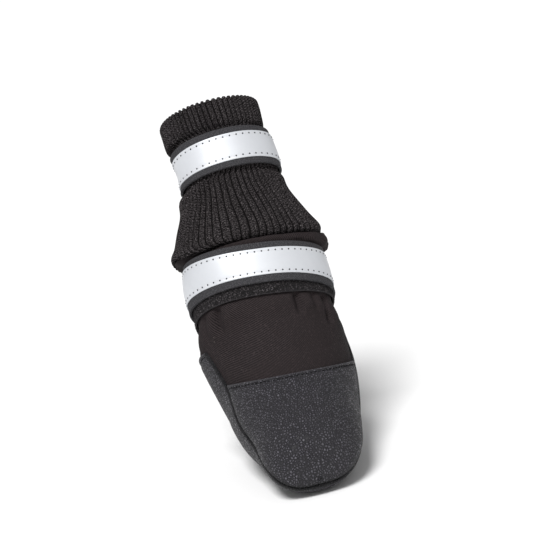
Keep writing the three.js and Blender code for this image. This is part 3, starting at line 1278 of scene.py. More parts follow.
@dataclass(frozen=True)
class RibKnit(Finish):
    """Charcoal-brown yarn knitted one by one, flecked with lit stitches."""

    name: str = "rib knit"
    dark: Color = (0.0032, 0.0027, 0.0029)
    light: Color = (0.043, 0.038, 0.0393)
    roughness: float = 0.9
    bump: float = 0.8
    gloss: float = 0.08
    relief: float = 0.22
    flecked: Color = (0.2, 0.18, 0.185)
    # painted shade in the grooves between ribs
    groove: Color = (0.0035, 0.003, 0.003)

    def dress(self, desk: NodeDesk, shader: bpy.types.Node) -> None:
        """Set the stitches on the ribs and paint shade into the grooves.

        Args:
            desk: the material's desk.
            shader: the Principled BSDF.
        """
        chart = desk.chart()
        courses = COURSES.use(desk, {"Place": chart, "Fuzz": 0.5}).outputs
        speckle = desk.ramp(desk.noise(chart, 3.1, 4.0, 0.7), 0.35, 0.7, 0.45, 1.0)
        body = desk.mix(desk.math("MULTIPLY", courses["Leg"], speckle), self.dark, self.light)
        fleck = desk.ramp(desk.noise(chart, 5.2), 0.55, 0.7, 0.0, 0.8)
        flecked = desk.mix(fleck, body, self.flecked)
        # painted shade in the grooves between ribs
        color = desk.mix(courses["Groove"], flecked, self.groove)
        rough = desk.ramp(courses["Leg"], 0.0, 1.0, 0.98, self.roughness - 0.08)
        self.join(desk, shader, color, courses["Height"], rough)


@dataclass(frozen=True)
class Webbing(Finish):
    """Heathered charcoal webbing."""

    name: str = "strap webbing"
    dark: Color = (0.024, 0.0235, 0.026)
    light: Color = (0.078, 0.076, 0.083)
    roughness: float = 0.85
    bump: float = 0.7
    gloss: float = 0.3
    relief: float = 0.25

    def dress(self, desk: NodeDesk, shader: bpy.types.Node) -> None:
        """Run the light yarns along the strap.

        Args:
            desk: the material's desk.
            shader: the Principled BSDF.
        """
        yarns = HEATHER.use(desk, {"Place": desk.chart(), "Yarns": 2500.0}).outputs
        color = desk.mix(yarns["Light"], self.dark, self.light)
        rough = desk.ramp(yarns["Height"], 0.2, 0.8, 0.95, self.roughness - 0.1)
        self.join(desk, shader, color, yarns["Height"], rough)


@dataclass(frozen=True)
class SilverTape(Finish):
    """Silver-white reflective tape with a faint woven backing."""

    name: str = "silver tape"
    dark: Color = (0.57, 0.585, 0.615)
    light: Color = (0.592, 0.607, 0.636)
    roughness: float = 0.42
    bump: float = 0.25
    relief: float = 0.05
    metal: float = 0.15

    def dress(self, desk: NodeDesk, shader: bpy.types.Node) -> None:
        """Cloud the silver slightly and let the backing show.

        Args:
            desk: the material's desk.
            shader: the Principled BSDF.
        """
        cloud = desk.noise(desk.place(), 130.0, 5.0, 0.6)
        yarns = HEATHER.use(desk, {"Place": desk.chart(), "Yarns": 1500.0}).outputs
        color = desk.mix(desk.ramp(cloud, 0.3, 0.7), self.dark, self.light)
        rough = desk.ramp(cloud, 0.3, 0.7, self.roughness + 0.1, self.roughness - 0.05)
        shader.inputs["Metallic"].default_value = self.metal
        self.join(desk, shader, color, yarns["Height"], rough)


@dataclass(frozen=True)
class LoopPile(Finish):
    """Black loop fabric, matted and fuzzy, or the lit ends of its hairs."""

    name: str = "loop pile"
    dark: Color = (0.008, 0.0072, 0.0077)
    light: Color = (0.15, 0.134, 0.142)
    roughness: float = 0.95
    bump: float = 1.0
    gloss: float = 0.2
    relief: float = 0.5
    selvage: Color = (0.05, 0.047, 0.05)

    def dress(self, desk: NodeDesk, shader: bpy.types.Node) -> None:
        """Mat the loops with noise and lighten the selvage at the lower edge.

        Args:
            desk: the material's desk.
            shader: the Principled BSDF.
        """
        loops = desk.noise(desk.place(), 1500.0, 4.0, 0.7)
        body = desk.mix(desk.ramp(loops, 0.5, 0.75), self.dark, self.light)
        at_edge = desk.ramp(desk.parts(desk.chart())[1], 0.0001, 0.0005, 0.5, 0.0)
        self.join(desk, shader, desk.mix(at_edge, body, self.selvage), loops)


@dataclass(frozen=True)
class Thread(Finish):
    """Twisted sewing thread."""

    name: str = "dark thread"
    dark: Color = (0.0015, 0.0015, 0.0015)
    light: Color = (0.006, 0.006, 0.0065)
    roughness: float = 0.7
    bump: float = 0.3
    gloss: float = 0.08
    relief: float = 0.05

    def dress(self, desk: NodeDesk, shader: bpy.types.Node) -> None:
        """Twist light and dark plies by a close noise.

        Args:
            desk: the material's desk.
            shader: the Principled BSDF.
        """
        plies = desk.noise(desk.place(), 4200.0)
        color = desk.mix(desk.ramp(plies, 0.35, 0.65), self.dark, self.light)
        rough = desk.ramp(plies, 0.3, 0.7, self.roughness + 0.1, self.roughness - 0.1)
        self.join(desk, shader, color, plies, rough)


GRIP = GripCloth()
SHELL = Softshell()
KNIT = RibKnit()
WEB = Webbing()
SILVER = SilverTape()
PILE = LoopPile()
FUZZ = LoopPile(name="loop fuzz", dark=(0.012, 0.011, 0.0115), light=(0.42, 0.385, 0.4))
BLACK_THREAD = Thread()
PALE_THREAD = Thread(name="pale thread", dark=(0.5, 0.5, 0.52), light=(0.74, 0.74, 0.76), roughness=0.5,
                     gloss=0.4)
HOLE = Thread(name="needle hole", dark=(0.01, 0.01, 0.011), light=(0.03, 0.03, 0.032), roughness=0.8)


def hand_over(piece: bpy.types.Object, finish: Finish, slot: str, *nodes: str) -> bpy.types.Object:
    """Dress a piece, hang it on the root body and hide the CAD nodes it stands for.

    Args:
        piece: the finished piece.
        finish: its finish.
        slot: not used.
        nodes: the CAD nodes it stands for.

    Returns:
        The same piece.
    """
    piece.data.materials.clear()
    piece.data.materials.append(finish.material())
    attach(piece, "root")
    if nodes:
        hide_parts(*nodes)
    count = sum(len(face.vertices) - 2 for face in piece.data.polygons)
    log.info("%s: %d triangles in %s", piece.name, count, finish.name)
    return piece


# Stitches


@dataclass
class StitchRow:
    """A row of sewn stitches along a line on the surface."""

    name: str
    path: np.ndarray
    out: np.ndarray
    pitch: float = 2.15
    length: float = 1.3
    radius: float = 0.42
    finish: Finish = BLACK_THREAD
    slot: str = "grip_cloth"

    def places(self) -> tuple[np.ndarray, np.ndarray, np.ndarray]:
        """Space the stitches evenly along the line.

        Returns:
            Their middles, directions and outward directions.
        """
        walked = arc_lengths(self.path)
        count = max(1, int(walked[-1] / self.pitch))
        at = (np.arange(count) + 0.5) * walked[-1] / count

        def read(values: np.ndarray, where: np.ndarray) -> np.ndarray:
            """Read values along the line."""
            return np.stack([np.interp(where, walked, values[:, axis]) for axis in range(3)], axis=1)

        middle = read(self.path, at)
        way = read(self.path, at + 0.4) - read(self.path, at - 0.4)
        way /= np.maximum(np.linalg.norm(way, axis=1, keepdims=True), 1e-9)
        out = read(self.out, at)
        out -= way * (out * way).sum(axis=1, keepdims=True)
        out /= np.maximum(np.linalg.norm(out, axis=1, keepdims=True), 1e-9)
        return middle, way, out

    def frames(self, length: float, radius: float, sink: float, shift: float = 0.0) -> np.ndarray:
        """Work out the axes and place of every stitch.

        Args:
            length: half the stitch's length, in mm.
            radius: its radius, in mm.
            sink: how deep its middle lies, in mm.
            shift: how far it is moved along the row, in mm.

        Returns:
            One 4 by 3 block for each stitch.
        """
        middle, way, out = self.places()
        across = np.cross(out, way)
        centre = middle - out * sink + way * shift
        return np.stack([way * length, across * radius, out * radius, centre], axis=1)

    def sew(self) -> bpy.types.Object:
        """Model one stitch and repeat it along the row.

        Returns:
            The joined stitches.
        """
        leave_all()
        bpy.ops.mesh.primitive_uv_sphere_add(segments=6, ring_count=5, radius=1.0)
        seed = bpy.context.active_object
        seed.data.update()
        frames = self.frames(self.length / 2.0, self.radius, self.radius * 0.35)
        piece = repeat_shape(seed, self.name, frames)
        smooth(piece, 80.0)
        return hand_over(piece, self.finish, self.slot)

    def pierce(self, name: str, radius: float) -> bpy.types.Object:
        """Set a small dark needle hole at each end of the stitches.

        Args:
            name: the name of the joined holes.
            radius: their radius, in mm.

        Returns:
            The joined holes.
        """
        leave_all()
        bpy.ops.mesh.primitive_uv_sphere_add(segments=8, ring_count=4, radius=1.0)
        seed = bpy.context.active_object
        frames = self.frames(radius, radius, -0.06, self.pitch / 2.0)
        frames[:, 2, :] *= 0.3
        piece = repeat_shape(seed, name, frames)
        smooth(piece, 80.0)
        return hand_over(piece, HOLE, self.slot)


# Folds of the upper


@dataclass(frozen=True)
class Crease:
    """A soft trough or ridge from one point of the form to another."""

    place_a: float
    degrees_a: float
    place_b: float
    degrees_b: float
    width: float
    height: float

    def lift(self, form: BootForm, points: np.ndarray) -> np.ndarray:
        """Give how far the crease moves each point out.

        Args:
            form: the boot's form.
            points: points on the form, in mm.

        Returns:
            Offsets in mm.
        """
        share = np.linspace(0.0, 1.0, 24)
        place = self.place_a + (self.place_b - self.place_a) * share
        angle = np.radians(self.degrees_a + (self.degrees_b - self.degrees_a) * share)
        gap, nearest = nearest_on_line(points, form.point(place, angle))
        fade = 1.0 - smooth_step(0.45, 1.0, share[nearest])
        return self.height * fade * bell(gap, 0.0, self.width)


UPPER_CREASES = (
    Crease(12.6, -48.0, 10.6, -44.0, 1.8, -4.2),
    Crease(12.6, -36.0, 10.7, -30.0, 2.6, 1.3),
    Crease(12.6, -57.0, 10.5, -53.0, 2.4, 1.0),
    Crease(12.5, 22.0, 10.6, 21.0, 1.7, -3.0),
    Crease(12.5, 31.0, 10.8, 31.0, 2.4, 1.1),
    Crease(12.5, 39.0, 11.2, 37.0, 1.8, -1.6),
    Crease(12.5, 54.0, 10.2, 50.0, 1.9, -3.0),
    Crease(12.6, -68.0, 10.6, -60.0, 2.4, -1.6),
    Crease(12.6, 80.0, 10.8, 74.0, 2.4, -1.5),
    Crease(12.6, -95.0, 11.0, -92.0, 2.6, -1.4),
    Crease(12.6, 104.0, 11.0, 100.0, 2.6, -1.6),
    Crease(12.4, -128.0, 11.2, -124.0, 2.4, -1.2),
    Crease(12.4, 140.0, 11.2, 137.0, 2.4, -1.2),
    Crease(12.5, -6.0, 11.6, -8.0, 2.0, -0.7),
    Crease(10.2, -48.0, 8.4, -40.0, 4.5, -0.9),
    Crease(10.4, 40.0, 8.6, 46.0, 5.0, -0.8),
    Crease(9.4, -8.0, 8.2, 16.0, 5.5, 0.6),
    Crease(8.0, -22.0, 7.2, 8.0, 5.0, -0.45),
)


@dataclass
class JointLine:
    """The wavy line on which the knit is sewn to the softshell, as stations every 30 degrees."""

    stations: tuple[float, ...] = (30.0, 30.0, 30.5, 31.2, 27.6, 28.2, 30.3, 31.1, 32.8, 34.6, 33.5, 31.0)

    def at(self, angle: np.ndarray) -> np.ndarray:
        """Read the line at angles.

        Args:
            angle: angles in radians, 0 in front.

        Returns:
            Stations in mm.
        """
        ring = self.stations[-1:] + self.stations + self.stations[:3]
        turn = (np.degrees(angle) + 180.0) / 30.0
        return blend_rows(np.array(ring)[:, None], turn + 1.0)[..., 0]


# The boot's sub-assemblies


@dataclass
class SoftUpper:
    """The softshell upper: one closed shell from the toe to the knit, with its lining inside."""

    form: BootForm
    joint: JointLine
    wall: float = 2.2
    columns: int = 264
    outer_rows: int = 128
    inner_rows: int = 34
    chart_radius: float = 33.0
    rest: float = -0.15
    ripple: Step = Step(0.28, 5.0, 7.0)
    gather: Bump = Bump(0.9, 11.75, 0.6)
    puff: Step = Step(1.5, 26.6, 29.5)
    side_puff: Bump = Bump(0.5, 78.0, 26.0)
    pucker: float = 0.35
    joint_reach: float = 1.1
    side_reach: Bump = Bump(1.4, 80.0, 30.0)
    joint_tuck: Step = Step(2.2, 20.0, 26.0)
    band_start: Step = Step(1.0, -1.5, -0.4)
    band_end: Step = Step(1.0, 25.2, 26.6)
    under_band: float = -0.2
    turned_in: float = 1.1
    creases: tuple[Crease, ...] = UPPER_CREASES

    def outer_offset(self, place: np.ndarray, angle: np.ndarray, station: np.ndarray) -> np.ndarray:
        """Work out how far the cloth's face lies off the form.

        Args:
            place: ring places.
            angle: angles in radians.
            station: stations along the shaft, less than 0 on the foot.

        Returns:
            Offsets in mm.
        """
        points = self.form.point(place, angle)
        offset = np.full(place.shape, self.rest)
        for crease in self.creases:
            offset += crease.lift(self.form, points)
        x, y, z = np.moveaxis(points, -1, 0)
        offset += np.sin(x / 9.0 + z / 13.0) * np.sin(y / 11.0 + 1.3) * self.ripple.at(place)
        offset += self.gather.at(place)
        degrees = np.degrees(angle)
        puff = self.puff.at(station) * (1.0 + self.side_puff.at(degrees))
        offset += puff * (1.0 - self.pucker * np.sin(angle * 9.0 + 1.0) ** 2)
        reach = self.joint_reach + self.side_reach.at(degrees)
        offset -= bell(station, self.joint.at(angle), reach) * self.joint_tuck.at(station)
        under = self.band_start.at(station - band_edge(angle)) * (1.0 - self.band_end.at(station))
        return np.where(under > 0.0, offset * (1.0 - under) + self.under_band * under, offset)

    def build(self) -> list[bpy.types.Object]:
        """Lay the outside, turn the edge in and line the inside.

        Returns:
            The piece.
        """
        angle = np.linspace(-math.pi, math.pi, self.columns + 1)
        dense = np.linspace(0.0, self.form.place_of(40.0), 700)
        front = arc_lengths(self.form.point(dense, np.zeros_like(dense)))
        share = np.linspace(0.0, 1.0, self.outer_rows)
        top = self.joint.at(angle) - self.turned_in
        reach = np.interp(self.form.place_of(top), dense, front)
        place = np.interp(share[:, None] * reach[None, :], front, dense)
        known = self.form.stations
        stations = np.interp(place, self.form.place_of(known), known, left=-1.0)
        grid = np.broadcast_to(angle, place.shape)
        offset = self.outer_offset(place, grid, stations)
        offset = np.where(share[:, None] < 1e-9, self.rest, offset)
        outside = self.form.face(place, grid, offset)
        edge = offset[-1]
        rim = [
            self.form.on_shaft(top + self.turned_in * math.sin(way), angle,
                               edge - self.turned_in + self.turned_in * math.cos(way))
            for way in np.linspace(0.0, math.pi, 7)[1:-1]
        ]
        inner_share = np.linspace(1.0, 0.0, self.inner_rows)
        inner_place = np.interp(inner_share[:, None] * reach[None, :], front, dense)
        inner_offset = np.where(inner_share[:, None] > 0.95, edge[None, :] - self.wall, -self.wall)
        inside = self.form.face(inner_place, angle[None, :], inner_offset)
        inside[-1] = inside[-1].mean(axis=0)
        points = np.concatenate([outside, np.stack(rim), inside])
        points[:, -1] = points[:, 0]
        walked = arc_lengths(points)[:, self.columns // 2]
        piece = lay_cloth("boot_upper", points, chart_over(angle * self.chart_radius * MM, walked * MM))
        smooth(piece, 70.0)
        return [hand_over(piece, SHELL, "softshell", "upper")]


@dataclass
class PanelCutter:
    """Cuts the toe cap and the sole as grids between the side seam and their top lines."""

    form: BootForm
    seam: SideSeam
    near_edge: tuple[float, ...] = (0.0, 0.12, 0.3, 0.55, 0.9, 1.35, 1.8, 2.2, 2.6, 3.0, 3.5, 4.2)
    past_instep: float = 2.0
    cup_from: float = 7.0
    samples: int = 1500

    def spread_columns(self, count: int) -> np.ndarray:
        """Give column shares from one side seam to the other, closer at the seams.

        Args:
            count: how many columns lie between the close ones.

        Returns:
            Shares from -1 to 1.
        """
        close = np.array([0.003, 0.008, 0.016, 0.027, 0.042, 0.06])
        middle = np.linspace(-0.92, 0.92, count)
        return np.concatenate([[-1.0], -1.0 + close, middle, (1.0 - close)[::-1], [1.0]])

    def fan(self, share: np.ndarray, seam_angle: np.ndarray, under: bool) -> np.ndarray:
        """Spread columns between the two side seams, over the paw or under it.

        Args:
            share: column shares from -1 to 1.
            seam_angle: the seam's angles, in radians.
            under: True for the sole, False for the toe cap.

        Returns:
            Angles in radians.
        """
        return math.pi - share * (math.pi - seam_angle) if under else share * seam_angle

    def cut(self, share: np.ndarray, start: float, rows: int, under: bool) -> Panel:
        """Cut one panel.

        Args:
            share: column shares from -1 to 1.
            start: the ring place on which the panel starts.
            rows: how many rows lie between the edge rows and the start.
            under: True for the sole, False for the toe cap.

        Returns:
            The panel's grid, from its start up to its top line.
        """
        reach = self.form.first_shaft + self.past_instep - start
        dense = start + reach * np.linspace(0.0, 1.0, self.samples) ** 1.5
        seam_angle = self.seam.angle(dense[:, None], share[None, :] > 0.0)
        angle = self.fan(share[None, :], seam_angle, under)
        points = self.form.point(np.broadcast_to(dense[:, None], angle.shape), angle)
        over = self.seam.above_cup(points) if under else self.seam.above_cap(points)
        if under:
            over = np.where(dense[:, None] < self.cup_from, -1.0, over)
        place = np.empty((rows + len(self.near_edge), len(share)))
        for column in range(len(share)):
            last = int(np.argmax(over[:, column] > 0.0))
            low, high = over[last - 1, column], over[last, column]
            part = -low / (high - low)
            walked = arc_lengths(points[:last + 1, column])
            length = walked[-2] + (walked[-1] - walked[-2]) * part
            edge = length - np.array(self.near_edge)
            rest = edge[-1] * (1.0 - np.arange(1, rows + 1) / rows)
            wanted = np.concatenate([edge, rest])[::-1]
            place[:, column] = np.interp(wanted, walked, dense[:last + 1])
        full = np.broadcast_to(share, place.shape)
        angle = self.fan(full, self.seam.angle(place, full > 0.0), under)
        laid = self.form.point(place, angle)
        to_top, _ = nearest_on_line(laid, laid[-1])
        to_seam, _ = nearest_on_line(laid, self.seam.line())
        return Panel(place, angle, to_top, to_seam)

    def edge_path(self, panel: Panel, from_top: float,
                  offset: np.ndarray) -> tuple[np.ndarray, np.ndarray]:
        """Give the line that runs at a distance below a panel's top edge.

        Args:
            panel: the cut panel.
            from_top: the distance below the edge, one of the close rows, in mm.
            offset: the panel's offsets.

        Returns:
            The line's points and outward directions.
        """
        row = len(panel.place) - 1 - self.near_edge.index(from_top)
        place, angle = panel.place[row], panel.angle[row]
        return self.form.face(place, angle, offset[row]), self.form.normal(place, angle)


def sewn_edge(distance: np.ndarray, at: float) -> np.ndarray:
    """Give the relief of a folded and stitched edge.

    Args:
        distance: distances below the edge, in mm.
        at: where the stitches run, in mm.

    Returns:
        Offsets in mm: a proud fold, a dip at the stitches and a soft swell after it.
    """
    fold = 0.4 * (1.0 - smooth_step(at - 1.0, at - 0.1, distance))
    return fold - 0.5 * bell(distance, at, 0.5) + 0.14 * bell(distance, at + 1.6, 1.2)


@dataclass
class GripPanel:
    """What the toe cap and the sole share: their cutter, sizes in mm and the way they are sewn up."""

    form: BootForm
    cutter: PanelCutter
    proud: float = 1.0
    wall: float = 1.0
    rows: int = 100
    columns: int = 150
    stitch_line: float = 1.8
    top_roll: float = 0.75
    side_roll: float = 1.2
    side_gap: float = 0.25

    def relief(self, panel: Panel) -> np.ndarray:
        """Give the sewn top edge's relief, flat near the side seams, in mm."""
        return sewn_edge(panel.top, self.stitch_line) * smooth_step(0.3, 3.0, panel.side)

    def roll(self, panel: Panel, offset: np.ndarray, top: float, side: float) -> np.ndarray:
        """Roll the top and side edges down.

        Args:
            panel: the cut panel.
            offset: its offsets, in mm.
            top: the offset at the top edge, in mm.
            side: the offset at the side seams, in mm.

        Returns:
            Offsets in mm.
        """
        offset = top + (offset - top) * rolled_edge(panel.top, self.top_roll)
        inward = np.maximum(0.0, panel.side - self.side_gap)
        return side + (offset - side) * rolled_edge(inward, self.side_roll)

    def sew_up(self, names: tuple[str, str, str], panel: Panel, laid: np.ndarray, offset: np.ndarray,
               free_ends: int) -> list[bpy.types.Object]:
        """Lay the cut cloth, thicken it, dress it and stitch its top edge.

        Args:
            names: the names of the piece, of its stitches and of the CAD node it stands for.
            panel: the cut panel.
            laid: the panel's positions, in mm.
            offset: its offsets, in mm.
            free_ends: how many columns at each end the stitches leave free.

        Returns:
            The piece and its stitches.
        """
        name, stitch_name, node = names
        piece = lay_cloth(name, laid, np.stack([panel.side, panel.top], axis=-1) * MM)
        thicken(piece, self.wall)
        smooth(piece, 60.0)
        hand_over(piece, GRIP, "grip_cloth", node)
        path, out = self.cutter.edge_path(panel, self.stitch_line, offset)
        inside = slice(free_ends, -free_ends)
        return [piece, StitchRow(stitch_name, path[inside], out[inside]).sew()]


@dataclass
class ToeCap(GripPanel):
    """The toe cap of grip cloth with its folded, stitched top edge."""

    proud: float = 1.45
    wall: float = 1.1
    rows: int = 96
    side_fall: Step = Step(0.4, 0.8, 5.0)
    ripple: Step = Step(0.16, 2.0, 4.0)
    lowest: float = 0.25

    def build(self) -> list[bpy.types.Object]:
        """Cut, roll, thicken and sew the cap.

        Returns:
            The cap and its stitches.
        """
        share = self.cutter.spread_columns(self.columns)
        panel = self.cutter.cut(share, 0.0, self.rows, under=False)
        x, y, z = np.moveaxis(self.form.point(panel.place, panel.angle), -1, 0)
        offset = self.proud - (self.side_fall.height - self.side_fall.at(panel.side)) + self.relief(panel)
        offset = offset + np.sin(x / 8.0 + 0.7) * np.sin(y / 9.0 + z / 12.0) * self.ripple.at(panel.place)
        offset = self.roll(panel, offset, top=0.35, side=0.05)
        laid = self.form.face(panel.place, panel.angle, offset)
        laid[..., 2] = np.maximum(laid[..., 2], self.lowest)
        laid[0] = laid[0].mean(axis=0)
        closed = panel.place[:, 0] <= self.cutter.seam.places[0]
        laid[closed, -1] = laid[closed, 0]
        names = ("toe_cap_cloth", "toe_cap_stitches", "toe_cap")
        return self.sew_up(names, panel, laid, offset, free_ends=8)


@dataclass
class GripSole(GripPanel):
    """The sole and heel cup of grip cloth, rolled into the side seam and stitched at the cup's edge."""

    proud: float = 1.05
    wall: float = 0.9
    rows: int = 110
    start: float = 1e-4

    def build(self) -> list[bpy.types.Object]:
        """Cut, roll, thicken and sew the sole.

        Returns:
            The sole and its stitches.
        """
        share = self.cutter.spread_columns(self.columns)[::-1]
        start = float(self.cutter.seam.places[0]) + self.start
        panel = self.cutter.cut(share, start, self.rows, under=True)
        swell = 0.1 * smooth_step(1.0, 5.0, panel.side) * smooth_step(0.0, 3.0, panel.top)
        offset = self.roll(panel, self.proud + swell + self.relief(panel), top=0.1, side=0.0)
        laid = self.form.face(panel.place, panel.angle, offset)
        laid[..., 2] = np.maximum(laid[..., 2], 0.0)
        laid[0] = laid[0].mean(axis=0)
        names = ("grip_sole", "heel_cup_stitches", "sole")
        return self.sew_up(names, panel, laid, offset, free_ends=5)


@dataclass
class KnitShaft:
    """The rib knit shaft with its soft folded rim."""

    form: BootForm
    joint: JointLine
    ribs: int = 60
    per_rib: int = 9
    wall: float = 3.0
    rim_top: float = 97.2
    row_step: float = 0.95
    depth: float = 1.45
    rib_round: float = 3.4
    uneven: float = 0.16
    dimple: Bump = Bump(0.12, 0.5, 0.085)
    inner_ribs: float = 0.45
    edge_radius: float = 1.45
    low: float = 24.0
    course: float = 1.25
    seed: int = 7
    left_side: Bump = Bump(1.0, -62.0, 34.0)
    swell: Bump = Bump(0.6, 3.4, 3.0)
    left_swell: Bump = Bump(0.5, 3.4, 3.0)
    tuck: Bump = Bump(-1.9, 0.0, 1.2)
    left_droop: Bump = Bump(-0.7, 2.2, 2.4)
    pinches: tuple[Bump, ...] = (Bump(-1.5, 83.0, 1.7), Bump(-0.8, 61.4, 1.6))
    flat_ribs: Span = Span(61.5, 64.0, 81.0, 83.5)
    low_fade: Step = Step(0.25, 60.0, 34.0)
    under_strap: Span = Span(61.8, 63.2, 81.8, 83.2)
    strap_dent: float = 0.25
    sways: tuple[Bump, ...] = (Bump(0.05, 40.0, 11.0), Bump(0.035, 36.0, 8.0))
    top: float = 97.5

    def rib_depth(self, station: np.ndarray) -> np.ndarray:
        """Give how deep the grooves are along the shaft, in mm."""
        return self.depth * (1.0 - self.low_fade.at(station)) * (1.0 - 0.7 * self.flat_ribs.at(station))

    def ribbed(self, rib: np.ndarray, station: np.ndarray) -> np.ndarray:
        """Give the ribs' shape across the knit, each rib a little different.

        Args:
            rib: how many ribs each column lies from the back.
            station: the rows' stations, in mm.

        Returns:
            1 on the top of a rib, about 0 in a groove.
        """
        rng = np.random.default_rng(self.seed)
        phase = 2.0 * math.pi * (rib - 0.5)
        fall = np.abs(np.sin(phase / 2.0 + math.pi / 2.0)) ** self.rib_round
        number = np.floor(rib).astype(int) % self.ribs
        tall = 1.0 + self.uneven * rng.standard_normal(self.ribs)[number]
        turns = rng.uniform(0.0, 2.0 * math.pi, self.ribs)[number]
        wavy = 1.0 + 0.12 * np.sin(station / 4.6 + turns[None, :])
        return 1.0 - fall[None, :] * tall[None, :] * wavy - self.dimple.at((rib + 0.5) % 1.0)[None, :]

    def build(self) -> list[bpy.types.Object]:
        """Knit the wall as one closed loop of rows with a rib at every column group.

        Returns:
            The piece.
        """
        columns = self.ribs * self.per_rib
        index = np.arange(columns + 1)
        base = -math.pi + 2.0 * math.pi * index / columns
        rows = loop_rows(self.low, self.rim_top, -self.wall, 0.0, self.edge_radius, self.row_step, 5.0)
        station, offset, to_station, to_offset = (rows[:, k][:, None] for k in range(4))
        joint = self.joint.at(base)[None, :]
        stretch = (self.rim_top - joint + 0.4) / (self.rim_top - self.low)
        station = self.rim_top - (self.rim_top - station) * stretch
        from_joint = station - joint
        rib = index / self.per_rib
        push = self.rib_depth(station) * (self.ribbed(rib, station) - 1.0)
        push = push * np.where(to_offset < -0.5, self.inner_ribs, 1.0)
        left = self.left_side.at(np.degrees(base))[None, :]
        outer = to_offset > -0.5
        bulge = self.swell.at(from_joint) + left * self.left_swell.at(from_joint)
        bulge = bulge + self.tuck.at(from_joint) - self.strap_dent * self.under_strap.at(station)
        bulge = bulge + sum(pinch.at(station) for pinch in self.pinches)
        broad, close = self.sways
        sway = np.sin(2.0 * base + 0.8)[None, :] * broad.at(station)
        sway += np.sin(5.0 * base + 2.0)[None, :] * close.at(station)
        droop = left * self.left_droop.at(from_joint)
        up = np.minimum(station + push * to_station + droop * outer, self.top)
        outward = offset + push * to_offset + bulge * outer
        closed = close_section(self.form.on_shaft(up, base[None, :] + sway * outer, outward))
        walked = arc_lengths(closed)[:, columns // 2]
        piece = lay_cloth("knit_shaft", closed, chart_over(rib, walked / self.course))
        smooth(piece, 80.0)
        return [hand_over(piece, KNIT, "rib_knit", "rib_cuff")]


@dataclass
class LoopBand:
    """The band of loop pile under the ankle strap, with its selvage and loose hairs."""

    form: BootForm
    low: float = 2.9
    high: float = 25.0
    inner: float = 0.3
    outer: float = 1.35
    chart_radius: float = 30.0
    columns: int = 240
    hairs: int = 6200
    hair_width: float = 0.1
    hair_stray: float = 0.75
    hairs_to: float = 8.4
    seed: int = 11

    def build(self) -> list[bpy.types.Object]:
        """Lay the band and stand the hairs on it.

        Returns:
            The band and its hairs.
        """
        angle = np.linspace(-math.pi, math.pi, self.columns + 1)
        rows = loop_rows(self.low, self.high, self.inner, self.outer, 0.35, 0.6, 4.0)
        station, offset = rows[:, 0][:, None], rows[:, 1][:, None]
        drawn_up = 1.0 - smooth_step(self.low, self.low + 8.0, station)
        station = station + (band_edge(angle)[None, :] - self.low) * drawn_up
        rough = 0.12 * np.sin(angle * 37.0)[None, :] * np.sin(station * 2.1) * (offset > self.inner + 0.4)
        points = self.form.on_shaft(station, angle[None, :], offset + rough)
        along = np.append(rows[:, 0], rows[0, 0]) - self.low
        chart = chart_over(angle * self.chart_radius * MM, along * MM)
        band = lay_cloth("loop_band", close_section(points), chart)
        smooth(band, 60.0)
        hand_over(band, PILE, "loop_pile", "ankle_loop_band")
        return [band, self.grow_hairs()]

    def grow_hairs(self) -> bpy.types.Object:
        """Scatter short bent hairs over the part that shows.

        Returns:
            The joined hairs.
        """
        rng = np.random.default_rng(self.seed)
        angle = rng.uniform(-math.pi, math.pi, self.hairs)
        edge = band_edge(angle)
        station = edge + 0.5 + (self.hairs_to - edge) * rng.uniform(0.0, 1.0, self.hairs)
        root = self.form.on_shaft(station, angle, np.full(self.hairs, self.outer - 0.1))
        out = self.form.normal(self.form.place_of(station), angle)
        stray = out + self.hair_stray * rng.standard_normal((self.hairs, 3))
        stray /= np.linalg.norm(stray, axis=1, keepdims=True)
        side = np.cross(stray, np.array([0.3, 0.2, 0.9]))
        side /= np.linalg.norm(side, axis=1, keepdims=True)
        other = np.cross(stray, side)
        length = rng.uniform(0.45, 1.0, (self.hairs, 1))
        axes = [side * self.hair_width, other * self.hair_width, stray * length]
        frames = np.stack([*axes, root + stray * length * 0.4], axis=1)
        leave_all()
        bpy.ops.mesh.primitive_cone_add(vertices=3, radius1=1.0, radius2=0.0, depth=1.0)
        hairs = repeat_shape(bpy.context.active_object, "loop_band_hairs", frames)
        return hand_over(hairs, FUZZ, "loop_pile")


@dataclass(frozen=True)
class StrapLayer:
    """One layer of a strap: name, edges, faces, edge radius, row spacing and where it is sewn, in mm."""

    name: str
    low: float
    high: float
    inner: float
    outer: float
    radius: float = 0.6
    step: float = 0.8
    sewn_at: float = 0.0

    def dents(self, station: np.ndarray, offset: np.ndarray) -> np.ndarray | float:
        """Give how far the stitches draw in the layer's face.

        Args:
            station: the rows' stations, in mm.
            offset: the rows' offsets, in mm.

        Returns:
            Offsets in mm, 0 where nothing is sewn along its edges.
        """
        if not self.sewn_at:
            return 0.0
        from_middle = np.abs(station - (self.low + self.high) / 2.0)
        reach = (self.high - self.low) / 2.0 - self.sewn_at
        return -0.08 * bell(from_middle, reach, 0.5) * (offset > self.inner + 0.2)


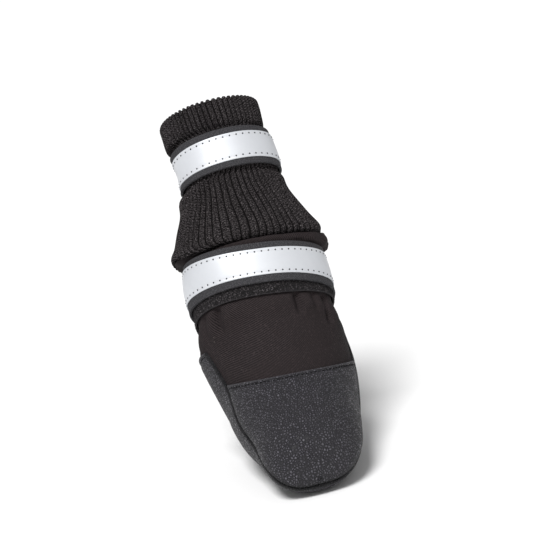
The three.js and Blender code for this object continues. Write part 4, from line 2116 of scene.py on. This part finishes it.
@dataclass
class TapedStrap:
    """A webbing strap with reflective tape sewn on and its free end closed over it."""

    form: BootForm
    site: Site
    low: float
    under: float
    chart_radius: float
    width: float = 19.0
    wall: float = 1.4
    tape_width: float = 12.0
    tape_wall: float = 0.5
    tail_start: float = 112.0
    tail_end: float = 190.0
    tail_gap: float = 0.45
    pitch: float = 3.2
    stitch_gap: float = 0.75
    thread_radius: float = 0.17
    hole_radius: float = 0.38
    inset: float = 1.35
    end_inset: float = 2.2
    columns: int = 252
    tape_columns: int = 210
    tail_columns: int = 90

    def wave(self, angles: np.ndarray) -> np.ndarray:
        """Give how far the strap waves out at angles in radians, in mm."""
        return 0.12 * np.sin(3.0 * angles + 0.5) + 0.08 * np.sin(7.0 * angles)

    def lay(self, layer: StrapLayer, angles: np.ndarray, lift: np.ndarray) -> bpy.types.Object:
        """Lay one layer of the strap over a run of angles.

        Args:
            layer: the layer.
            angles: the angles of its columns, in radians.
            lift: an extra offset for each column, in mm.

        Returns:
            The piece, closed at its ends where it doesn't go all round.
        """
        rows = loop_rows(layer.low, layer.high, layer.inner, layer.outer, layer.radius, layer.step, 4.0)
        station, offset = rows[:, 0][:, None], rows[:, 1][:, None]
        outward = offset + layer.dents(station, offset) + lift[None, :]
        points = self.form.on_shaft(station, angles[None, :], outward)
        whole = abs(angles[-1] - angles[0] - 2.0 * math.pi) < 1e-6
        closed = close_section(points, whole)
        if not whole:
            first = np.broadcast_to(closed[:, 0].mean(axis=0), closed[:, :1].shape)
            last = np.broadcast_to(closed[:, -1].mean(axis=0), closed[:, :1].shape)
            closed = np.concatenate([first, closed, last], axis=1)
            angles = np.concatenate([angles[:1], angles, angles[-1:]])
        along = np.append(rows[:, 0], rows[0, 0])
        piece = lay_cloth(layer.name, closed, chart_over(angles * self.chart_radius * MM, along * MM))
        smooth(piece, 60.0)
        return piece

    def sew_row(self, name: str, station: float, offset: np.ndarray, angles: np.ndarray,
                finish: Finish, slot: str, holes: bool) -> list[bpy.types.Object]:
        """Sew one row of stitches round the strap.

        Args:
            name: the name of the stitches.
            station: the row's station, in mm.
            offset: the surface's offset at each angle, in mm.
            angles: the angles that it runs through, in radians.
            finish: the thread.
            slot: the material slot.
            holes: True to show the needle holes.

        Returns:
            The stitches and their holes.
        """
        path = self.form.on_shaft(np.full_like(angles, station), angles, offset)
        out = self.form.normal(self.form.place_of(np.full_like(angles, station)), angles)
        length = self.pitch - self.stitch_gap
        row = StitchRow(name, path, out, self.pitch, length, self.thread_radius, finish, slot)
        made = [row.sew()]
        if holes:
            made.append(row.pierce(name + "_holes", self.hole_radius))
        return made

    def build(self) -> list[bpy.types.Object]:
        """Make the strap, the tape, the free end and every row of stitches.

        Returns:
            All pieces of the strap.
        """
        return self.make_strap() + self.make_tape() + self.make_free_end()

    def make_strap(self) -> list[bpy.types.Object]:
        """Make the webbing that goes all round.

        Returns:
            The strap.
        """
        site = self.site.value
        around = np.linspace(-math.pi, math.pi, self.columns + 1)
        layer = StrapLayer(f"{site}_webbing", self.low, self.low + self.width, self.under,
                           self.under + self.wall)
        strap = self.lay(layer, around, self.wave(around))
        return [hand_over(strap, WEB, "webbing", f"{site}_strap")]

    def make_tape(self) -> list[bpy.types.Object]:
        """Make the reflective tape with its two rows of stitches.

        Returns:
            The tape, the stitches and their needle holes.
        """
        site = self.site.value
        outer = self.under + self.wall
        low = self.low + (self.width - self.tape_width) / 2.0
        high = low + self.tape_width
        reach = (self.tail_end - 360.0 + 1.0, self.tail_start - 1.0)
        run = np.radians(np.linspace(*reach, self.tape_columns))
        wave = self.wave(run)
        top = outer + 0.02 + self.tape_wall
        layer = StrapLayer(f"{site}_reflective", low, high, outer - 0.1, top, 0.25, 0.5, self.inset)
        tape = self.lay(layer, run, wave)
        made = [hand_over(tape, SILVER, "reflective_tape", f"{site}_tape")]
        for side, station in (("low", low + self.inset), ("high", high - self.inset)):
            name = f"{site}_tape_stitches_{side}"
            made += self.sew_row(name, station, top - 0.05 + wave[3:-3], run[3:-3], PALE_THREAD,
                                 "reflective_tape", holes=True)
        return made

    def make_free_end(self) -> list[bpy.types.Object]:
        """Make the free end that closes over the strap at the back.

        Returns:
            The free end and its stitches.
        """
        site = self.site.value
        high = self.low + self.width
        tail = np.radians(np.linspace(self.tail_start, self.tail_end, self.tail_columns))
        degrees = np.degrees(tail)
        settle = -1.6 * smooth_step(self.tail_end - 14.0, self.tail_end, degrees)
        lifted = 0.5 * (1.0 - smooth_step(self.tail_start, self.tail_start + 9.0, degrees))
        inner = self.under + self.wall + self.tail_gap
        outer = inner + self.wall
        layer = StrapLayer(f"{site}_free_end", self.low + 0.2, high - 0.2, inner, outer)
        end = self.lay(layer, tail, settle + lifted)
        made = [hand_over(end, WEB, "webbing", f"{site}_strap_tail")]
        top = (outer + settle + lifted)[5:-16] + 0.05
        for side, station in (("low", self.low + self.end_inset), ("high", high - self.end_inset)):
            name = f"{site}_end_stitches_{side}"
            made += self.sew_row(name, station, top, tail[5:-16], BLACK_THREAD, "webbing", holes=False)
        return made


# The studio


@dataclass(frozen=True)
class Lamp:
    """A soft light: its direction as the camera sees it, its strength and its spread in degrees."""

    name: str
    right: float
    up: float
    back: float
    strength: float
    spread: float


@dataclass
class Studio:
    """A pale floor, soft light and the camera at the photograph's angle."""

    azimuth: float = -9.0
    elevation: float = 12.0
    roll: float = -11.5
    distance: float = 1.0
    lens: float = 146.7
    target: tuple[float, float, float] = (0.0, 0.020, 0.085)
    shift_right: float = 0.0027
    shift_up: float = 0.005
    lamps: tuple[Lamp, ...] = (
        Lamp("key", -0.36, 0.72, 0.8, 3.2, 22.0),
        Lamp("fill", 0.1, 0.3, 1.0, 0.35, 50.0),
    )
    surround: float = 0.32
    seen_surround: float = 0.65
    floor_size: float = 24.0
    floor_tone: float = 0.93

    def axes(self) -> tuple[Vector, Vector, Vector]:
        """Work out the camera's right, up and backward directions.

        Returns:
            The three unit vectors.
        """
        a, e, r = (math.radians(v) for v in (self.azimuth, self.elevation, self.roll))
        back = Vector((math.sin(a) * math.cos(e), -math.cos(a) * math.cos(e), math.sin(e)))
        right = Vector((math.cos(a), math.sin(a), 0.0))
        up = back.cross(right)
        turned = right * math.cos(r) + up * math.sin(r)
        return turned, back.cross(turned), back

    def set_camera(self) -> None:
        """Place the camera."""
        right, up, back = self.axes()
        place = Vector(self.target) + back * self.distance + right * self.shift_right + up * self.shift_up
        leave_all()
        bpy.ops.object.camera_add(location=place)
        camera = bpy.context.active_object
        camera.name = "photo_camera"
        camera.rotation_euler = Matrix((right, up, back)).transposed().to_euler()
        camera.data.lens = self.lens
        camera.data.sensor_width = 36.0
        camera.data.clip_start = 0.01
        camera.data.clip_end = 50.0
        bpy.context.scene.camera = camera

    def set_light(self) -> None:
        """Set a soft key from the upper left, a fill and a bright surround."""
        right, up, back = self.axes()
        for lamp in self.lamps:
            way = lamp.right * right + lamp.up * up + lamp.back * back
            leave_all()
            bpy.ops.object.light_add(type="SUN", location=way * 1.5)
            light = bpy.context.active_object
            light.name = f"{lamp.name}_light"
            light.rotation_euler = way.to_track_quat("Z", "Y").to_euler()
            light.data.energy = lamp.strength
            light.data.angle = math.radians(lamp.spread)
        world = bpy.data.worlds.new("studio")
        world.use_nodes = True
        surround = world.node_tree.nodes["Background"]
        surround.inputs["Color"].default_value = (1.0, 1.0, 1.0, 1.0)
        desk = NodeDesk(world.node_tree)
        seen = desk.put("ShaderNodeLightPath").outputs["Is Camera Ray"]
        strength = desk.math("MULTIPLY_ADD", seen, self.seen_surround, self.surround)
        world.node_tree.links.new(strength, surround.inputs["Strength"])
        bpy.context.scene.world = world

    def lay_floor(self) -> None:
        """Lay the plain pale floor."""
        leave_all()
        bpy.ops.mesh.primitive_plane_add(size=self.floor_size, location=(0.0, 0.0, -0.0002))
        floor = bpy.context.active_object
        floor.name = "studio_floor"
        material = bpy.data.materials.new("pale floor")
        material.use_nodes = True
        shader = material.node_tree.nodes["Principled BSDF"]
        shader.inputs["Base Color"].default_value = (*[self.floor_tone] * 3, 1.0)
        shader.inputs["Roughness"].default_value = 0.9
        floor.data.materials.append(material)

    def build(self) -> None:
        """Set up floor, light, camera and the plain colour transform."""
        self.lay_floor()
        self.set_light()
        self.set_camera()
        bpy.context.scene.view_settings.view_transform = "Standard"


def main() -> None:
    """Build the boot piece by piece, then the studio."""
    logging.basicConfig(level=logging.INFO, format="%(name)s %(message)s")
    form = BootForm()
    joint = JointLine()
    seam = SideSeam(form)
    cutter = PanelCutter(form, seam)
    parts = (
        SoftUpper(form, joint),
        GripSole(form, cutter),
        ToeCap(form, cutter),
        KnitShaft(form, joint),
        LoopBand(form),
        TapedStrap(form, Site.ANKLE, low=8.0, under=1.6, chart_radius=26.0),
        TapedStrap(form, Site.CUFF, low=63.0, under=0.3, chart_radius=20.0),
    )
    for part in parts:
        made = part.build()
        log.info("%s built: %d pieces", type(part).__name__, len(made))
    Studio().build()


if __name__ == "__main__":
    main()
